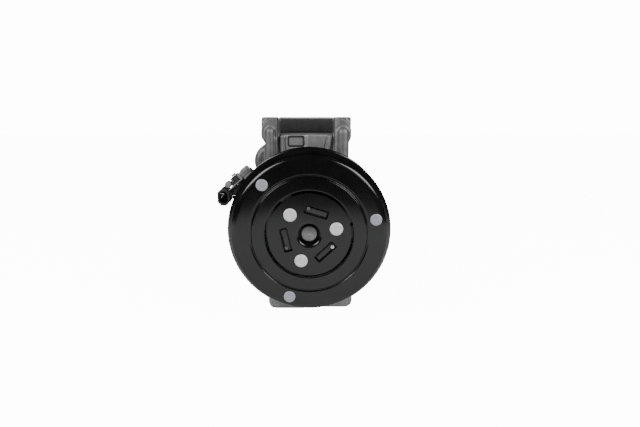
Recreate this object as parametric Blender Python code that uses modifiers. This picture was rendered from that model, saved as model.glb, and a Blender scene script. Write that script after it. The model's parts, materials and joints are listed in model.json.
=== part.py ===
"""Automotive air-conditioning compressor: a scroll machine driven through a magnetic clutch.

Every named size is in millimetres and becomes metres through MM.
The origin is on the underside of the front mounting foot, straight below the shaft; +Z is up
and the clutch faces -Y.
A depth is measured rearwards along the shaft from the front of the hub disc's rivet heads, and
a height is measured up from the shaft.
Angles are counter-clockwise as seen from the clutch side, from +X.
"""

import math

import bmesh
import bpy
from mathutils import Vector

MM = 0.001

# Frame
SHAFT_HEIGHT = 76.0
FOOT_DEPTH = 57.0

# Running and seating gap between solids that touch in the real machine
GAP = 0.3

# Facets of a full turn
FINE = 32
MEDIUM = 24
SMALL = 16
TINY = 10
SHARP_ANGLE = math.radians(32)

# Clutch
RIVET_ANGLES = [12.9, 132.9, 252.9]
INNER_RIVET_CIRCLE = 20.9
OUTER_RIVET_CIRCLE = 51.3
INNER_RIVET_HEAD = 5.0
OUTER_RIVET_HEAD = 4.5
INNER_SHANK = 2.3
OUTER_SHANK = 2.0
DISC_RADIUS = 31.6
DISC_FRONT = 1.2
DISC_BACK = 4.2
DISC_HOLE = 8.8
SLOT_CIRCLE = 18.0
SLOT_LENGTH = 18.5
SLOT_WIDTH = 5.6
LEAF_FRONT = 4.7
LEAF_BACK = 5.3
LEAF_HALF_WIDTH = 4.0
HUB_FRONT = 5.6
COVER_RADIUS = 59.4
COVER_FRONT = 2.4
COVER_BACK = 4.0
ARMATURE_FRONT = 5.6
ARMATURE_BACK = 9.4
AIR_GAP = 0.5

# Pulley
ROTOR_FACE = ARMATURE_BACK + AIR_GAP
FLANGE_RADIUS = 63.2
CREST_RADIUS = 61.5
VALLEY_RADIUS = 58.7
FLANGE_FRONT = 14.4
FLANGE_LAND = 0.9
GROOVES = 6
GROOVE_PITCH = 3.56
PULLEY_BACK = FLANGE_FRONT + 2 * FLANGE_LAND + GROOVES * GROOVE_PITCH
RIM_BORE = 53.0
ROTOR_BORE = 26.4
ROTOR_BACK = 14.6
ROTOR_HUB = 31.4
ROTOR_HUB_BACK = 35.5
FLUX_SLOTS = 6
FLUX_CIRCLE = 42.0
FLUX_SLOT_WIDTH = 3.0
FLUX_HALF_ANGLE = 20.0

# Pulley bearing
PULLEY_BEARING = (15.2, 33.2)
PULLEY_RACES = (17.5, 19.8, 25.2, 27.5)
PULLEY_BALL = 2.4
PULLEY_BALLS = 12

# Front housing
NOSE_RADIUS = 17.2
NOSE_FRONT = 12.5
COIL_SEAT = 19.0
BODY_RADIUS = 57.0
BODY_FRONT = 45.5
SPLIT_FRONT = 80.0
SEAL_BORE = 12.6
NEEDLE_BORE = 11.1
MAIN_BORE = 26.3
MAIN_FLOOR = 50.5
CAVITY_RADIUS = 36.0
CAVITY_FLOOR = 66.5

# Mounting ears as (outer, inner) along X, their columns, the saddle between them and the feet
LEFT_EAR = (-38.7, -25.6)
RIGHT_EAR = (33.9, 20.6)
EAR_ROOT = 40.0
EAR_TOP = 86.0
EAR_UNDERSIDE = 70.0
EAR_FRONT = 44.0
EAR_WEB = 4.5
EAR_BACK = 68.0
EAR_CORNER = 11.0
LEFT_STEM = -35.6
RIGHT_STEM = 31.8
LEFT_COLUMN = (-31.4, 4.0)
RIGHT_COLUMN = (27.3, 4.7)
COLUMN_TOP = 78.5
SADDLE_TOP = 72.3
SADDLE_FRONT = 49.0
FOOT = (-34.8, 36.9)
FOOT_FRONT = 45.2
FOOT_STEP = -3.8
FOOT_STEP_DEPTH = 3.2
FOOT_BACK = 68.0
FOOT_CORNER = 6.0
MOUNT_HOLE = 4.3
EAR_HOLE_DEPTH = 15.0
FOOT_HOLE_DEPTH = 18.0
EAR_HOLES = (-32.0, 27.2)
FOOT_HOLES = (-24.0, 26.0)
REAR_FOOT = (-22.0, 22.0)
REAR_FOOT_DEPTHS = (99.0, 115.0)

# Body bolts
BOLT_ANGLES = [120.0 + 72.0 * index for index in range(5)]
BOLT_CIRCLE = 53.5
BOLT_RADIUS = 3.0
BOLT_HEAD = 5.2
BOLT_HOLE = 3.4
BOLT_BOSS = 6.6
BOLT_TIP = 62.0

# Centre and rear housings
SHELL_BORE = 47.0
SHELL_RADIUS = 54.0
SPLIT_REAR = 118.0
REAR_FLANGE_BACK = 136.0
REAR_BACK = 150.0
CHAMBER_RADIUS = 40.0
CHAMBER_FLOOR = 138.0

# Ports
PORT_BLOCK = (-24.5, 20.0)
PORT_BLOCK_TOP = 71.2
PORT_DEPTHS = (85.0, 116.0)
PORT_COVER = (-26.8, 22.2)
PORT_COVER_TOP = 84.4
SUCTION_PORT = (-12.0, 7.5)
DISCHARGE_PORT = (9.5, 5.5)
PORT_CENTRE_DEPTH = 101.0

# Shaft and its bearings
SHAFT_NOSE = 6.4
SHAFT_END = 5.2
SEAL_JOURNAL = 7.0
NEEDLE_JOURNAL = 7.5
MAIN_JOURNAL = 12.5
MAIN_BEARING = (51.3, 65.3)
MAIN_RACES = (12.8, 15.9, 23.0, 26.0)
MAIN_BALL = 3.2
MAIN_BALLS = 9

# Scroll set
ORBIT = 4.5
PIN_RADIUS = 4.5
BUSH_RADIUS = 10.5
BUSH_DEPTHS = (73.4, 82.9)
NEEDLE_THICKNESS = 2.6
SCROLL_HUB = (13.7, 17.5)
SCROLL_HUB_FRONT = 73.2
THRUST_PLATE = (80.1, 83.1)
ORBITING_PLATE = (83.4, 89.4)
ORBITING_RADIUS = 38.0
WRAP_HEIGHT = 18.0
WRAP_THICKNESS = 3.2
WRAP_CLEARANCE = 0.25
WRAP_START = 1.2 * math.pi
WRAP_END = 4.4 * math.pi
WRAP_STEPS_PER_HALF_TURN = 15
FIXED_PLATE_FRONT = ORBITING_PLATE[1] + WRAP_HEIGHT + GAP
FIXED_PLATE = (FIXED_PLATE_FRONT, FIXED_PLATE_FRONT + 7.0)
FIXED_WALL = (41.8, 46.7)
STOP_PINS = 3
STOP_PIN_CIRCLE = 31.0
STOP_PIN_RADIUS = 2.0
DISCHARGE_HOLE = 3.0

# Reed valve on the back of the fixed scroll
REED_ROOT = -18.0
REED_TIP = 5.0
REED_HALF_WIDTH = 4.0
REED_FRONT = FIXED_PLATE[1] + GAP
REED_THICKNESS = 0.5
REED_SCREW_HEIGHT = -25.0

# Connector group beside the left of the body
CONNECTOR_CENTRE = (-69.9, 21.7)
CONNECTOR_SIZE = (10.2, 14.0)
CONNECTOR_DEPTHS = (41.0, 57.0)
BRACKET_ANGLE = 40.4
BRACKET_MIDDLE = (-60.6, 31.6)
BRACKET_THICKNESS = 1.0
BRACKET_DEPTHS = (42.5, 58.0)
WEB_DEPTHS = (46.5, 48.0)
BRACKET_RISER = 8.6
BRACKET_TAB_END = 17.0
BRACKET_SCREW = 13.2
LUG_TOP = 2.8
LEAD_RADIUS = 1.3
LEAD_ROUTE = [
    (-43.0, 16.0, 40.4),
    (-50.0, 17.5, 40.8),
    (-57.0, 19.5, 42.5),
    (-61.5, 20.5, 46.5),
    (-63.2, 20.5, 51.0),
]

# Relief valve
RELIEF_PLACE = dict(x=18.0, height=-12.0)

MATERIALS = {
    "cast_aluminium": ((0.42, 0.42, 0.43), 0.55, 0.7),
    "machined_aluminium": ((0.62, 0.62, 0.63), 0.35, 0.9),
    "black_paint": ((0.012, 0.012, 0.013), 0.25, 0.0),
    "bare_steel": ((0.45, 0.45, 0.46), 0.35, 0.9),
    "plated_steel": ((0.58, 0.58, 0.57), 0.32, 0.9),
    "rivet_metal": ((0.62, 0.62, 0.64), 0.4, 0.8),
    "spring_steel": ((0.35, 0.36, 0.38), 0.3, 0.9),
    "copper_winding": ((0.55, 0.22, 0.10), 0.45, 0.6),
    "black_plastic": ((0.02, 0.02, 0.02), 0.45, 0.0),
    "grey_plastic": ((0.45, 0.45, 0.46), 0.5, 0.0),
    "black_rubber": ((0.015, 0.015, 0.015), 0.8, 0.0),
    "brass": ((0.62, 0.45, 0.18), 0.35, 0.9),
}


def polar(radius, angle):
    """A point of a circle about the shaft, as (x, height)."""
    return radius * math.cos(math.radians(angle)), radius * math.sin(math.radians(angle))


def ring_of(count, start=0.0):
    """Angles of equally spaced places."""
    return [start + 360.0 * index / count for index in range(count)]


# Scene and placing


def clear_scene():
    for obj in list(bpy.data.objects):
        bpy.data.objects.remove(obj, do_unlink=True)


def make_collection(name):
    collection = bpy.data.collections.new(name)
    bpy.context.scene.collection.children.link(collection)
    return collection


def make_empty(name, parent=None, location=(0.0, 0.0, 0.0), rotation=(0.0, 0.0, 0.0)):
    empty = bpy.data.objects.new(name, None)
    empty.empty_display_size = 0.02
    empty.parent = parent
    empty.location = location
    empty.rotation_euler = rotation
    PARTS.objects.link(empty)
    return empty


def make_materials():
    made = {}
    for name, (colour, roughness, metallic) in MATERIALS.items():
        material = bpy.data.materials.new(name)
        material.use_nodes = True
        shader = material.node_tree.nodes["Principled BSDF"]
        shader.inputs["Base Color"].default_value = (*colour, 1.0)
        shader.inputs["Roughness"].default_value = roughness
        shader.inputs["Metallic"].default_value = metallic
        made[name] = material
    return made


def place(name, mesh, material, x=0.0, height=0.0, depth=0.0, turn=0.0, rotation=None, parent=None):
    """Put a mesh into the shaft's frame; with no material it is a helper for a Boolean."""
    obj = bpy.data.objects.new(name, mesh)
    obj.parent = parent or SHAFT_AXIS
    obj.location = Vector((x, height, -depth)) * MM
    obj.rotation_euler = rotation or (0.0, 0.0, math.radians(turn))
    if material is None:
        CUTTERS.objects.link(obj)
        obj.hide_render = True
        obj.display_type = "WIRE"
    else:
        PARTS.objects.link(obj)
        mesh.materials.append(LOOKS[material])
    return obj


# Shapes


def turned(name, profile, steps, material=None, upright=False, **where):
    """Turn a section of (radius, depth) pairs, or (radius, height) pairs when upright."""
    area = 0.0
    for (r0, a0), (r1, a1) in zip(profile, profile[1:] + profile[:1]):
        area += r0 * a1 - r1 * a0
    along = 1.0 if upright else -1.0
    points = profile if area * along < 0 else profile[::-1]
    mesh = bpy.data.meshes.new(name)
    section = bmesh.new()
    verts = [section.verts.new((radius * MM, 0.0, along * axial * MM)) for radius, axial in points]
    for first, second in zip(verts, verts[1:]):
        section.edges.new((first, second))
    if all(radius > 0 for radius, _ in points):
        section.edges.new((verts[-1], verts[0]))
    section.to_mesh(mesh)
    section.free()
    if upright:
        where["rotation"] = (-math.pi / 2, 0.0, 0.0)
    obj = place(name, mesh, material, **where)
    screw = obj.modifiers.new("Turn", "SCREW")
    screw.steps = steps
    screw.render_steps = steps
    screw.use_merge_vertices = True
    screw.merge_threshold = 0.00001
    return obj


def ring(name, inner, outer, front, back, steps, material=None, **where):
    section = [(inner, front), (outer, front), (outer, back), (inner, back)]
    return turned(name, section, steps, material, **where)


def disc(name, radius, front, back, steps, material=None, **where):
    section = [(0.0, front), (radius, front), (radius, back), (0.0, back)]
    return turned(name, section, steps, material, **where)


def post(name, radius, bottom, top, steps, material=None, **where):
    """An upright cylinder between two heights."""
    section = [(0.0, top), (radius, top), (radius, bottom), (0.0, bottom)]
    return turned(name, section, steps, material, upright=True, **where)


def prism(name, outlines, front, back, material=None, **where):
    """Extrude closed outlines of (x, height) pairs along the shaft; inner outlines are holes."""
    curve = bpy.data.curves.new(name, "CURVE")
    curve.dimensions = "2D"
    curve.fill_mode = "BOTH"
    curve.extrude = (back - front) / 2 * MM
    for outline in outlines:
        spline = curve.splines.new("POLY")
        spline.points.add(len(outline) - 1)
        for point, (x, height) in zip(spline.points, outline):
            point.co = (x * MM, height * MM, 0.0, 1.0)
        spline.use_cyclic_u = True
    sketch = bpy.data.objects.new(name + "_sketch", curve)
    CUTTERS.objects.link(sketch)
    bpy.context.view_layer.update()
    graph = bpy.context.evaluated_depsgraph_get()
    mesh = bpy.data.meshes.new_from_object(sketch.evaluated_get(graph))
    bpy.data.objects.remove(sketch, do_unlink=True)
    weld(mesh)
    where["depth"] = where.get("depth", 0.0) + (front + back) / 2
    return place(name, mesh, material, **where)


def weld(mesh):
    """Join the loose caps of an extruded outline to its sides."""
    solid = bmesh.new()
    solid.from_mesh(mesh)
    bmesh.ops.remove_doubles(solid, verts=solid.verts, dist=0.000001)
    bmesh.ops.recalc_face_normals(solid, faces=solid.faces)
    solid.to_mesh(mesh)
    solid.free()


def block(name, x_range, height_range, depth_range, material=None, bevel=0.0, **where):
    solid = bmesh.new()
    bmesh.ops.create_cube(solid, size=1.0)
    ranges = (x_range, height_range, depth_range)
    size = Vector([high - low for low, high in ranges])
    bmesh.ops.scale(solid, vec=size * MM, verts=solid.verts)
    mesh = bpy.data.meshes.new(name)
    solid.to_mesh(mesh)
    solid.free()
    x, height, depth = [sum(pair) / 2 for pair in ranges]
    obj = place(name, mesh, material, x=x, height=height, depth=depth, **where)
    if bevel:
        rounding = obj.modifiers.new("Round", "BEVEL")
        rounding.width = bevel * MM
        rounding.segments = 2
    return obj


def tube(name, points, radius, material):
    """A round lead along (x, height, depth) points."""
    curve = bpy.data.curves.new(name, "CURVE")
    curve.dimensions = "3D"
    curve.bevel_depth = radius * MM
    curve.bevel_resolution = 2
    curve.use_fill_caps = True
    spline = curve.splines.new("POLY")
    spline.points.add(len(points) - 1)
    for point, (x, height, depth) in zip(spline.points, points):
        point.co = (x * MM, height * MM, -depth * MM, 1.0)
    return place(name, curve, material)


def circle(radius, steps, x=0.0, height=0.0):
    return [(x + a, height + b) for a, b in (polar(radius, angle) for angle in ring_of(steps))]


def arc(radius, start, end, steps, x=0.0, height=0.0):
    angles = [start + (end - start) * index / steps for index in range(steps + 1)]
    return [(x + a, height + b) for a, b in (polar(radius, angle) for angle in angles)]


def rounded(corners, steps=5):
    """A closed outline from (x, height, corner radius) triples."""
    outline = []
    for index, (x, height, radius) in enumerate(corners):
        corner = Vector((x, height))
        if not radius:
            outline.append((x, height))
            continue
        before = (Vector(corners[index - 1][:2]) - corner).normalized()
        after = (Vector(corners[(index + 1) % len(corners)][:2]) - corner).normalized()
        half = before.angle(after) / 2
        centre = corner + (before + after).normalized() * radius / math.sin(half)
        first = (corner + before * radius / math.tan(half) - centre).normalized()
        last = (corner + after * radius / math.tan(half) - centre).normalized()
        for step in range(steps + 1):
            outline.append(tuple(centre + first.slerp(last, step / steps) * radius))
    return outline


def rectangle(x_range, height_range, radius=0.0):
    (x0, x1), (z0, z1) = x_range, height_range
    return rounded([(x0, z0, radius), (x1, z0, radius), (x1, z1, radius), (x0, z1, radius)])


# Booleans and finishing


def boolean(target, tool, operation):
    modifier = target.modifiers.new(tool.name, "BOOLEAN")
    modifier.operation = operation
    modifier.solver = "EXACT"
    modifier.object = tool


def cut(target, *tools):
    for tool in tools:
        boolean(target, tool, "DIFFERENCE")


def join(target, *tools):
    for tool in tools:
        boolean(target, tool, "UNION")


def bake_parts():
    """Make each stack of modifiers plain mesh, smooth where it curves and sharp at its edges."""
    bpy.context.view_layer.update()
    graph = bpy.context.evaluated_depsgraph_get()
    solids = [obj for obj in PARTS.objects if obj.type == "MESH"]
    meshes = [bpy.data.meshes.new_from_object(obj.evaluated_get(graph)) for obj in solids]
    for obj, mesh in zip(solids, meshes):
        obj.modifiers.clear()
        obj.data = mesh
        mesh.name = obj.name
        mesh.shade_smooth()
        mesh.set_sharp_from_angle(angle=SHARP_ANGLE)


# Clutch


def rivet(name, head, shank, front, underside, tail_front, tail_back, tail, circle_radius, angle):
    x, height = polar(circle_radius, angle)
    rise = underside - front
    section = [
        (0.0, front),
        (head * 0.7, front + rise * 0.12),
        (head * 0.92, front + rise * 0.45),
        (head, underside),
        (shank, underside),
        (shank, tail_front),
        (tail, tail_front),
        (tail, tail_back),
        (0.0, tail_back),
    ]
    return turned(name, section, TINY, "rivet_metal", x=x, height=height)


def rivet_holes(target, circle_radius, radius, front, back):
    for index, angle in enumerate(RIVET_ANGLES, 1):
        x, height = polar(circle_radius, angle)
        name = f"{target.name}_rivet_hole_{index}"
        cut(target, disc(name, radius, front, back, TINY, x=x, height=height))


def make_hub():
    section = [
        (SHAFT_NOSE + GAP, HUB_FRONT),
        (26.0, HUB_FRONT),
        (26.0, 8.6),
        (12.0, 8.6),
        (10.5, 10.0),
        (10.5, 18.5),
        (SHAFT_NOSE + GAP, 18.5),
    ]
    hub = turned("hub", section, MEDIUM, "bare_steel")
    rivet_holes(hub, INNER_RIVET_CIRCLE, INNER_SHANK + GAP, HUB_FRONT - 1, 10.0)
    return hub


def make_hub_disc():
    section = [
        (DISC_HOLE, DISC_FRONT - 0.6),
        (DISC_HOLE + 1.1, DISC_FRONT - 0.6),
        (DISC_HOLE + 1.9, DISC_FRONT),
        (DISC_RADIUS - 1.0, DISC_FRONT),
        (DISC_RADIUS, DISC_FRONT + 1.0),
        (DISC_RADIUS, DISC_BACK),
        (DISC_HOLE, DISC_BACK),
    ]
    hub_disc = turned("hub_disc", section, FINE, "black_paint")
    rivet_holes(hub_disc, INNER_RIVET_CIRCLE, INNER_SHANK + GAP, 0.0, DISC_BACK + 1)
    half_length, half_width = SLOT_LENGTH / 2, SLOT_WIDTH / 2
    outline = rectangle((-half_length, half_length), (-half_width, half_width), 0.8)
    for index, angle in enumerate(RIVET_ANGLES, 1):
        middle = angle + 60.0
        x, height = polar(SLOT_CIRCLE, middle)
        slot = prism(f"disc_slot_{index}", [outline], 0.0, 5.0, x=x, height=height, turn=middle - 90.0)
        cut(hub_disc, slot)
    return hub_disc


def make_armature_cover():
    """A pressed cover: a raised inner ring, a groove, a flat for the rivets and a rolled edge."""
    section = [
        (33.4, COVER_BACK),
        (33.6, 3.4),
        (35.4, 0.7),
        (41.2, 0.5),
        (42.2, 0.75),
        (44.6, 2.0),
        (45.3, 2.8),
        (46.3, COVER_FRONT),
        (54.8, COVER_FRONT),
        (57.2, 2.9),
        (COVER_RADIUS - 0.7, 3.7),
        (COVER_RADIUS, 4.9),
        (COVER_RADIUS, 6.6),
        (COVER_RADIUS - 1.4, 6.6),
        (COVER_RADIUS - 1.8, COVER_BACK),
        (44.0, COVER_BACK),
        (41.0, 2.1),
        (36.4, 2.1),
        (35.2, COVER_BACK),
    ]
    cover = turned("armature_cover", section, FINE, "black_paint")
    rivet_holes(cover, OUTER_RIVET_CIRCLE, OUTER_SHANK + GAP, 1.0, 5.0)
    return cover


def make_armature_plate():
    plate = ring("armature_plate", 34.0, 57.2, ARMATURE_FRONT, ARMATURE_BACK, FINE, "bare_steel")
    rivet_holes(plate, OUTER_RIVET_CIRCLE, OUTER_SHANK + GAP, 5.0, 8.0)
    for index, angle in enumerate(RIVET_ANGLES, 1):
        x, height = polar(OUTER_RIVET_CIRCLE, angle)
        cut(plate, disc(f"armature_counterbore_{index}", 3.9, 7.8, 10.0, TINY, x=x, height=height))
    return plate


def make_rivets():
    for index, angle in enumerate(RIVET_ANGLES, 1):
        rivet(
            f"inner_rivet_{index}", INNER_RIVET_HEAD, INNER_SHANK, 0.0, 0.9, 8.9, 10.1, 3.6,
            INNER_RIVET_CIRCLE, angle,
        )
        rivet(
            f"outer_rivet_{index}", OUTER_RIVET_HEAD, OUTER_SHANK, 1.15, 2.1, 8.1, 9.1, 3.5,
            OUTER_RIVET_CIRCLE, angle,
        )


def make_leaf_springs():
    """Each leaf runs from one of the hub's rivets to the armature's rivet a third of a turn on."""
    start = Vector(polar(INNER_RIVET_CIRCLE, 0.0))
    end = Vector(polar(OUTER_RIVET_CIRCLE, 120.0))
    heading = math.degrees(math.atan2(end.y - start.y, end.x - start.x))
    outline = arc(LEAF_HALF_WIDTH, heading + 90, heading + 270, 6, *start)
    outline += arc(LEAF_HALF_WIDTH, heading - 90, heading + 90, 6, *end)
    holes = [circle(INNER_SHANK + GAP, 10, *start), circle(OUTER_SHANK + 2 * GAP, 10, *end)]
    for index, angle in enumerate(RIVET_ANGLES, 1):
        prism(
            f"leaf_spring_{index}", [outline, *holes], LEAF_FRONT, LEAF_BACK, "spring_steel",
            turn=angle,
        )


# Pulley and its bearing


def make_pulley():
    flat = 0.5
    section = [
        (ROTOR_BORE, ROTOR_FACE),
        (FLANGE_RADIUS - 2.4, ROTOR_FACE),
        (FLANGE_RADIUS - 0.9, FLANGE_FRONT - 2.2),
        (FLANGE_RADIUS, FLANGE_FRONT),
    ]
    section.append((FLANGE_RADIUS, FLANGE_FRONT + FLANGE_LAND - flat))
    for groove in range(GROOVES):
        middle = FLANGE_FRONT + FLANGE_LAND + (groove + 0.5) * GROOVE_PITCH
        if groove:
            section.append((CREST_RADIUS, middle - GROOVE_PITCH / 2 + flat))
        section.append((VALLEY_RADIUS, middle - flat))
        section.append((VALLEY_RADIUS, middle + flat))
        if groove < GROOVES - 1:
            section.append((CREST_RADIUS, middle + GROOVE_PITCH / 2 - flat))
    section += [
        (FLANGE_RADIUS, PULLEY_BACK - FLANGE_LAND + flat),
        (FLANGE_RADIUS, PULLEY_BACK),
        (RIM_BORE, PULLEY_BACK),
        (RIM_BORE, ROTOR_BACK),
        (ROTOR_HUB, ROTOR_BACK),
        (ROTOR_HUB, ROTOR_HUB_BACK),
        (PULLEY_RACES[3] + GAP, ROTOR_HUB_BACK),
        (PULLEY_RACES[3] + GAP, PULLEY_BEARING[0] - GAP),
        (ROTOR_BORE, PULLEY_BEARING[0] - GAP),
    ]
    pulley = turned("pulley", section, FINE, "black_paint")
    inner, outer = FLUX_CIRCLE - FLUX_SLOT_WIDTH / 2, FLUX_CIRCLE + FLUX_SLOT_WIDTH / 2
    outline = arc(inner, -FLUX_HALF_ANGLE, FLUX_HALF_ANGLE, 5)
    outline += arc(outer, FLUX_HALF_ANGLE, -FLUX_HALF_ANGLE, 5)
    for index, angle in enumerate(ring_of(FLUX_SLOTS, 30.0), 1):
        cut(pulley, prism(f"flux_slot_{index}", [outline], ROTOR_FACE - 1, 16.0, turn=angle))
    ring("pulley_snap_ring", 25.6, 27.5, 33.6, 34.9, MEDIUM, "bare_steel")


def make_ball_bearing(name, races, depths, ball, balls):
    inner_bore, inner_top, outer_bore, outer_top = races
    front, back = depths
    ring(f"{name}_inner_race", inner_bore, inner_top, front, back, MEDIUM, "bare_steel")
    ring(f"{name}_outer_race", outer_bore, outer_top, front, back, MEDIUM, "bare_steel")
    pitch_radius = (inner_top + outer_bore) / 2
    middle = (front + back) / 2
    cage = ring(
        f"{name}_balls", pitch_radius - 0.8, pitch_radius + 0.8, middle - ball - 1, middle + ball + 1,
        2 * balls, "plated_steel",
    )
    for index, angle in enumerate(ring_of(balls), 1):
        solid = bmesh.new()
        bmesh.ops.create_uvsphere(solid, u_segments=6, v_segments=4, radius=ball * MM)
        mesh = bpy.data.meshes.new(f"{name}_ball_{index}")
        solid.to_mesh(mesh)
        solid.free()
        x, height = polar(pitch_radius, angle)
        join(cage, place(mesh.name, mesh, None, x=x, height=height, depth=middle))


# Field coil


def make_coil():
    section = [
        (33.0, 16.5),
        (35.6, 16.5),
        (35.6, 33.5),
        (48.6, 33.5),
        (48.6, 16.5),
        (51.4, 16.5),
        (51.4, 36.5),
        (33.0, 36.5),
    ]
    turned("coil_shell", section, MEDIUM, "bare_steel")
    ring("coil_winding", 35.9, 48.3, 18.0, 33.2, MEDIUM, "copper_winding")
    ring("coil_plate", COIL_SEAT + GAP, 50.0, 36.8, 38.6, MEDIUM, "plated_steel")
    ring("coil_snap_ring", COIL_SEAT + GAP, 22.0, 35.2, 36.5, MEDIUM, "bare_steel")
    ring("nose_snap_ring", NOSE_RADIUS + GAP, 19.4, 13.5, 14.9, MEDIUM, "bare_steel")


def make_connector():
    """Socket, bracket, clip and held lead at the left of the front housing."""
    x, height = CONNECTOR_CENTRE
    half_width, half_height = CONNECTOR_SIZE[0] / 2, CONNECTOR_SIZE[1] / 2
    chamfer = 3.0
    outline = [
        (-half_width, -half_height + chamfer),
        (-half_width + chamfer, -half_height),
        (half_width - chamfer, -half_height),
        (half_width, -half_height + chamfer),
        (half_width, half_height - chamfer),
        (half_width - chamfer, half_height),
        (-half_width + chamfer, half_height),
        (-half_width, half_height - chamfer),
    ]
    body = prism("coil_connector", [outline], *CONNECTOR_DEPTHS, "black_plastic", x=x, height=height)
    inside = [(a * 0.72, b * 0.76) for a, b in outline]
    front = CONNECTOR_DEPTHS[0]
    cut(body, prism("connector_socket", [inside], front - 1, front + 12.0, x=x, height=height))
    for index, offset in enumerate((-1.9, 1.9), 1):
        blade = block(
            f"connector_blade_{index}", (x - 0.4, x + 0.4), (height + offset - 1.0, height + offset + 1.0),
            (front + 5.2, front + 13.0),
        )
        join(body, blade)

    # The bracket's own frame: its first direction runs up along the strip, its second outwards.
    frame = dict(x=BRACKET_MIDDLE[0], height=BRACKET_MIDDLE[1], turn=BRACKET_ANGLE)
    half = BRACKET_THICKNESS / 2
    riser, tab_end = BRACKET_RISER, BRACKET_TAB_END
    strip = [
        (-7.0, -half),
        (riser, -half),
        (riser, LUG_TOP + GAP),
        (tab_end, LUG_TOP + GAP),
        (tab_end, LUG_TOP + GAP + BRACKET_THICKNESS),
        (riser - BRACKET_THICKNESS, LUG_TOP + GAP + BRACKET_THICKNESS),
        (riser - BRACKET_THICKNESS, half),
        (-7.0, half),
    ]
    bracket = prism("connector_bracket", [strip], *BRACKET_DEPTHS, "plated_steel", **frame)
    web = [(-6.4, 0.0), (riser - 0.2, 0.0), (riser - 0.2, -7.5), (-2.0, -7.5), (-7.3, -3.4)]
    join(bracket, prism("bracket_web", [web], *WEB_DEPTHS, **frame))
    slot = rectangle((-7.0 - GAP, riser), (-half - GAP, half + GAP))
    cut(body, prism("bracket_slot", [slot], BRACKET_DEPTHS[0] - GAP, BRACKET_DEPTHS[1] + GAP, **frame))
    hole = [(0.0, -20.0), (2.6, -20.0), (2.6, 20.0), (0.0, 20.0)]
    cut(bracket, turned("bracket_screw_hole", hole, TINY, **screw_seat()))
    seat = -(LUG_TOP + 2 * GAP + BRACKET_THICKNESS)
    screw = [(0.0, seat - 2.0), (3.0, seat - 1.8), (3.6, seat), (2.2, seat), (2.2, 5.0), (0.0, 5.0)]
    turned("bracket_screw", screw, SMALL, "black_plastic", **screw_seat())

    clip = rectangle((2.0, 7.2), (half + GAP, 6.4), 0.8)
    prism("connector_clip", [clip], 43.5, 52.0, "black_plastic", **frame)
    disc("lead_sleeve", 2.5, 43.0, 50.0, TINY, "grey_plastic", x=-66.4, height=31.7)
    tube("coil_lead", smooth_path(LEAD_ROUTE, 14), LEAD_RADIUS, "black_rubber")


def screw_seat():
    """Place a turned piece on the bracket screw's axis, its depth running in towards the lug."""
    turn = math.radians(BRACKET_ANGLE)
    along = Vector((math.cos(turn), math.sin(turn)))
    seat = Vector(BRACKET_MIDDLE) + along * BRACKET_SCREW
    rotation = (-math.pi / 2, 0.0, turn)
    return dict(x=seat.x, height=seat.y, depth=sum(BRACKET_DEPTHS) / 2, rotation=rotation)


def smooth_path(route, count):
    """Points of a Catmull-Rom curve through a route of (x, height, depth) points."""
    knots = [Vector(route[0]), *map(Vector, route), Vector(route[-1])]
    spans = len(route) - 1
    points = []
    for index in range(count):
        place_on = index / (count - 1) * spans
        span = min(int(place_on), spans - 1)
        t = place_on - span
        a, b, c, d = knots[span : span + 4]
        square = (2 * a - 5 * b + 4 * c - d) * t**2
        cube = (3 * b - a - 3 * c + d) * t**3
        points.append((2 * b + (c - a) * t + square + cube) / 2)
    return [tuple(point) for point in points]


# Housings


def lobed_outline(radius, boss):
    """A circle about the shaft that swells round each body bolt."""
    outline = []
    for angle in ring_of(60, BOLT_ANGLES[0]):
        reach = radius
        for bolt_angle in BOLT_ANGLES:
            offset = math.radians(angle - bolt_angle)
            across = BOLT_CIRCLE * math.sin(offset)
            if abs(across) < boss and math.cos(offset) > 0:
                reach = max(reach, BOLT_CIRCLE * math.cos(offset) + math.sqrt(boss**2 - across**2))
        outline.append(polar(reach, angle))
    return outline


def cut_bolt_holes(housing, front, back):
    for index, angle in enumerate(BOLT_ANGLES, 1):
        x, height = polar(BOLT_CIRCLE, angle)
        name = f"{housing.name}_bolt_hole_{index}"
        cut(housing, disc(name, BOLT_HOLE, front, back, TINY, x=x, height=height))


def ear(name, outer, inner, stem_outer):
    """A mounting ear on its stem, and the cutter that rounds the outer corner of its front."""
    solid = prism(name, [rounded([
        (inner, EAR_ROOT, 0.0),
        (inner, EAR_TOP, 0.0),
        (outer, EAR_TOP, 0.0),
        (outer, EAR_UNDERSIDE, 3.5),
        (stem_outer, EAR_UNDERSIDE - 4.5, 0.0),
        (stem_outer, EAR_ROOT, 0.0),
    ])], EAR_FRONT, EAR_BACK)
    side = math.copysign(1.0, outer)
    centre = (outer - side * EAR_CORNER, EAR_TOP - EAR_CORNER)
    corner = [(centre[0] + side * x, centre[1] + z) for x, z in arc(EAR_CORNER, 0.0, 90.0, 6)]
    corner += [(centre[0], EAR_TOP + 1.0), (outer + side, EAR_TOP + 1.0), (outer + side, centre[1])]
    return solid, prism(name + "_corner", [corner], EAR_FRONT - 1.0, EAR_FRONT + EAR_WEB)


def column(name, x, radius):
    """A half-round rib with a domed top, standing proud of an ear's stem."""
    section = [(0.0, COLUMN_TOP)]
    for step in (1, 2, 3):
        angle = math.radians(90 - 30 * step)
        section.append((radius * math.cos(angle), COLUMN_TOP - radius + radius * math.sin(angle)))
    section += [(radius, EAR_ROOT + 1.0), (0.0, EAR_ROOT + 1.0)]
    return turned(name, section, SMALL, upright=True, x=x, depth=EAR_FRONT + 0.4)


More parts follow.
